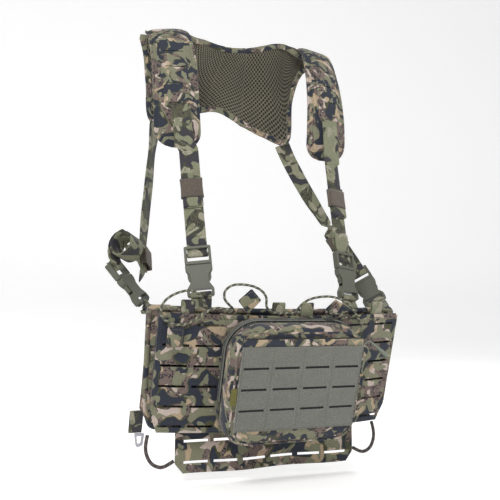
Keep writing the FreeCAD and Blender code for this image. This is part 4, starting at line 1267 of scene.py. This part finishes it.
def make_pouch():
    """The pouch's shallow base and its lid, a skin turned in at the zipper."""
    base = [(6.0, -29.2, 0), (1.2, -27.5, 0), (-0.1, -29.5, 0), (-0.7, -33.5, 0.3),
            (0.3, -36.8, 0.1), (0.8, -39.7, 0)]
    rings = same_count([pouch_ring(i, y, w) for i, y, w in base])
    # The base wears the darkened print: painted shade for the shaded gap beside the pouch.
    shell = rings_mesh("pouch_base_shell", rings, FABRIC_PAINTED_SHADE, cap=False, thick=1.4)
    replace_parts(shell, "pouch_base")
    floor = same_count([pouch_ring(i, y) for i, y in ((3.0, -27.6), (30, -27.6), (60, -27.6))])
    rings_mesh("pouch_back_wall", floor, LINING, thick=1.0)
    lid = [(0.8, -40.5, 0), (0.3, -43.2, 0.1), (-1.3, -50, 0.9), (-1.4, -58, 1.2),
           (-0.8, -64, 0.9), (0.3, -67.6, 0.5), (2.4, -70.2, 0.2), (5.2, -71.5, 0),
           (9.0, -72.0, 0), (24, -72.2, 0), (44, -72.3, 0), (64, -72.3, 0)]
    rings = same_count([pouch_ring(i, y, w) for i, y, w in lid])
    shell = rings_mesh("pouch_lid_shell", rings, FABRIC, "pouch_lid", thick=1.4)
    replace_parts(shell, "pouch_lid")
    for inset, y, name in ((-1.5, -47.0, "rear"), (0.3, -67.0, "front")):
        seam = pouch_ring(inset, y, 0, 5.0)
        middle = panel(0, y, POUCH_MIDDLE)
        ways = [(p - middle).normalized() for p in seam]
        stitches(f"lid_stitch_{name}", seam, lambda k, w=ways: w[k], THREAD, "pouch_lid")
    pipe = pouch_ring(3.6, -70.9, 0, 5.0)
    middle = panel(0, -70.9, POUCH_MIDDLE)
    sweep("lid_piping", pipe, [(p - middle).normalized() for p in pipe], oval_section(2.6, 2.6),
          FABRIC_FINE, "pouch_lid", closed=True)


def zipper_arch(grow, depth, low=-97.0, step=2.0):
    """Points along the zipper from its left end over the top to its right end."""
    half, radius = POUCH_HALF + grow, 35 + grow
    points = [(-half, low)]
    count = int((-35 - low) / step)
    points += [(-half, low + (-35 - low) * k / count) for k in range(1, count + 1)]
    points += [(-half + radius - radius * math.cos(math.pi / 2 * k / 24),
                grow - radius + radius * math.sin(math.pi / 2 * k / 24)) for k in range(1, 25)]
    flat = int(2 * (half - radius) / step)
    points += [(-half + radius + 2 * (half - radius) * k / flat, grow) for k in range(1, flat)]
    right = [(-x, z) for x, z in points[:count + 25]][::-1]
    return [panel(x, depth, z) for x, z in points + right]


TOOTH_PITCH = 1.5


def make_zipper():
    """Two tapes with their rows of teeth, one on the base and one on the lid."""
    middle = panel(0, -40, POUCH_MIDDLE)
    for name, depth, tooth, body in (("base", -38.4, -39.75, "rig"),
                                     ("lid", -41.9, -40.75, "pouch_lid")):
        line = zipper_arch(1.7, depth)
        tape = sweep(f"zip_tape_{name}", line, PANEL_BACK, flat_section(2.5, 1.6), ZIP_TAPE, body)
        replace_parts(tape, f"zipper_{name}_side")
        row = zipper_arch(2.3, tooth, step=1.0)
        points, faces, gone, due = [], [], 0.0, 0.0 if name == "base" else TOOTH_PITCH / 2
        for a, b in zip(row, row[1:]):
            gone += (b - a).length
            if gone < due:
                continue
            due += TOOTH_PITCH
            ahead = (b - a).normalized()
            out = ahead.cross(PANEL_BACK).normalized()
            if out.dot(a - middle) < 0:
                out = -out
            start = len(points)
            points += [a + ahead * 0.45 * p + PANEL_BACK * 0.75 * q + out * 0.8 * r
                       for p in (-1, 1) for q in (-1, 1) for r in (-1, 1)]
            for face in ((0, 1, 3, 2), (4, 6, 7, 5), (0, 4, 5, 1), (2, 3, 7, 6), (0, 2, 6, 4),
                         (1, 5, 7, 3)):
                faces.append(tuple(start + f for f in face))
        finish_mesh(f"zip_teeth_{name}", points, faces, [(0, 0)] * len(points), ZIP_TEETH, body,
                    sharp=30)


PULLS = {
    "top": ([(44.8, -40.2, 9.2), (52, -40.8, 10), (60, -41.5, 8.5), (68, -42, 4.6)],
            (1.1, 1.1, 1.1, 1.1), RETENTION),
    "side": ([(92, -40.2, -39.2), (96, -42, -31), (103, -45, -25), (127, -50.5, -42)],
             (1.1, 1.1, 2.0, 3.3), GRIP),
}


def make_pulls():
    """Each slider's metal, and its pull: a thin cord above, a moulded grip at the side."""
    for name, (route, radii, finish) in PULLS.items():
        wear(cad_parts[f"zipper_slider_{name}"], METAL)
        line = through([panel(*p) for p in route], 1.2)
        count = len(line)
        rings = []
        for i in range(count):
            place = i / (count - 1) * (len(radii) - 1)
            k = min(int(place), len(radii) - 2)
            radius = radii[k] + (radii[k + 1] - radii[k]) * (place - k)
            if i in (0, count - 1):
                radius *= 0.6
            rings.append(oval_section(2 * radius, 2 * radius, 14))
        pull = sweep(f"cord_pull_{name}", line, rolling(line), rings, finish, f"pull_{name}",
                     "pull_grip")
        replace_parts(pull, f"zipper_pull_{name}")


# ---- slip pocket, field and label ---------------------------------------------------------

FIELD_SLOTS = [((c - 1.5) * LADDER, z, SLOT_LONG, SLOT_HIGH) for c in range(4)
               for z in (-94.6, -69.2, -43.8)]


FIELD_FRONT, FIELD_HALF, FIELD_TOP, FIELD_LOW = -75.9, 76, -18.4, -120
HEM_FRONT, MOUTH_FRONT, MOUTH_TOP = -74.7, -74.6, -9.0


def make_slip_pocket():
    """The slip pocket on the lid, the loop field on it with its cut slots, and the blank tag."""
    corners = [(-76, -134, 22), (76, -134, 22), (76, -9, 7), (-76, -9, 7)]
    loop = rounded_outline(corners, 20, 6)
    middle = Vector((0, -70))
    rings = []
    for share, y in ((1.0, -72.4), (1.002, -73.2), (0.996, -73.9), (0.975, -74.2), (0.8, -74.3),
                     (0.5, -74.4), (0.2, -74.4)):
        rings.append([panel(p.x, y - 0.35 * soft_wave(p.x, p.y, 28, 3.0) * share, p.y)
                      for p in (middle + (q - middle) * share for q in loop)])
    pocket = rings_mesh("slip_pocket_cloth", rings, FABRIC_FINE, "pouch_lid")
    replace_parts(pocket, "pouch_slip_pocket")
    hem = [panel(x, HEM_FRONT - 0.2 * math.sin(x / 9), -13.6) for x in range(-74, 75, 4)]
    sweep("slip_pocket_hem", hem, PANEL_UP, flat_section(8.6, 1.2, 0.4), FABRIC_FINE,
          "pouch_lid")
    # A dark cord along the pocket's top edge: painted shade in the pocket's mouth.
    mouth = [panel(x, MOUTH_FRONT, MOUTH_TOP) for x in range(-74, 75, 4)]
    sweep("slip_pocket_mouth", mouth, PANEL_UP, oval_section(1.6, 1.4), PAINTED_SHADE_TAPE, "pouch_lid")

    def field(x, z, lift=0.0):
        return panel(x, FIELD_FRONT - lift + 0.18 * soft_wave(x, z, 18, 1.0), z)
    cloth = slotted("loop_field_cloth", field, (-FIELD_HALF, FIELD_LOW), (FIELD_HALF, FIELD_TOP),
                    FIELD_SLOTS, 1.3, LOOPS, "pouch_lid")
    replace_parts(cloth, "fastener_field")
    # A thin near-black sheet just behind the loop field: painted shade seen through its cut slots.
    slotted("slot_painted_shade", lambda x, z: panel(x, -74.62, z), (-75, -119), (75, -19), [], 0.2,
            PAINTED_SHADE_TAPE, "pouch_lid", "loop_field", 20.0)
    sewing = (PANEL_OUT, THREAD, "pouch_lid", "loop_field", 3.0, 0.7)
    for index in range(5):
        x = max(1.6 - FIELD_HALF, min(FIELD_HALF - 1.6, (index - 2) * LADDER))
        line = [field(x, -20 - 2.0 * k, 0.05) for k in range(50)]
        stitches(f"field_stitch_{index}", line, *sewing)
    foot = [field(x, -118.4, 0.05) for x in range(-74, 75, 3)]
    stitches("field_stitch_foot", foot, *sewing)
    tag = patch("blank_tag", box_outline(-84, -88, -76.5, -67, 0.8, 3, 3),
                lambda x, z, lift: panel(x, -74.5 - lift, z), 0.8, 0.1, LABEL, "pouch_lid")
    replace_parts(tag, "blank_label")


TABS = {"left": ([(-149, -12.6), (-129, -12.9), (-129, -36), (-149, -37)], -22.4),
        "middle": ([(-56, 36.5), (-42, 22.5), (-57, 6), (-71, 21.5)], -29.4),
        "right": ([(56, 24.4), (79, 11.6), (62, 2.2), (43, 11)], -28.0)}


def make_tabs():
    """Folded cloth pull tabs with a stitched border."""
    for name, (corners, rear) in TABS.items():
        area = sum(a[0] * b[1] - b[0] * a[1] for a, b in zip(corners, corners[1:] + corners[:1]))
        order = corners if area > 0 else corners[::-1]
        loop = rounded_outline([(x, z, 2.2) for x, z in order], 5, 4)
        place = (lambda rear: lambda x, z, lift: panel(x, rear - lift, z))(rear)
        tab = patch(f"cloth_tab_{name}", loop, place, 1.6, 0.5, FABRIC_FINE, f"tab_{name}")
        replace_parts(tab, f"pull_tab_{name}")
        middle = sum(loop, Vector((0, 0))) / len(loop)
        rim = [place(*(middle + (p - middle) * 0.8), 1.75) for p in loop + loop[:1]]
        stitches(f"tab_stitch_{name}", rim, PANEL_OUT, PALE_THREAD, f"tab_{name}", pitch=2.6)


FLAP_HALF, FLAP_TOP, FLAP_LOW, FLAP_FRONT = 121.5, -534.5, -585, -81.9
FLAP_ROWS = (-572, -546.6)


def make_flap():
    """The slotted lower flap, waving more towards its foot."""
    slots = [((c - 2.5) * LADDER, z, SLOT_LONG, SLOT_HIGH) for c in range(6)
             for z in FLAP_ROWS]

    def point(x, z, lift=0.0):
        x = cut_corner(x, z, FLAP_HALF, FLAP_HALF - 10, FLAP_LOW, FLAP_LOW + 12, 111)
        down = (FLAP_TOP - z) / 50
        wave = down * (1.5 * math.sin(x / 21 + 0.6) + 1.2 * soft_wave(x, z, 60, 2.0))
        return at(x, FLAP_FRONT - lift + wave * 0.9, z + 0.35 * wave)
    flap = slotted("flap_cloth", point, (-FLAP_HALF, FLAP_LOW), (FLAP_HALF, FLAP_TOP), slots, 1.5,
                   FABRIC, "lower_flap")
    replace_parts(flap, "lower_flap")
    line = [point(x, -582.0, 0.1) for x in range(-109, 110, 3)]
    stitches("flap_stitch", line, (0, -1, 0), THREAD, "lower_flap")


for make in (make_camera, make_cords, make_buckles, make_straps, make_slack, make_latch_slack,
             make_keepers_and_tails, make_anchors, make_pads, make_yoke, make_back_panel,
             make_laminate, make_pockets, make_webbing_loops, make_pouch, make_zipper, make_pulls,
             make_slip_pocket, make_tabs, make_flap):
    make()
wear(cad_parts["corner_hook"], HOOK)
make_stage()
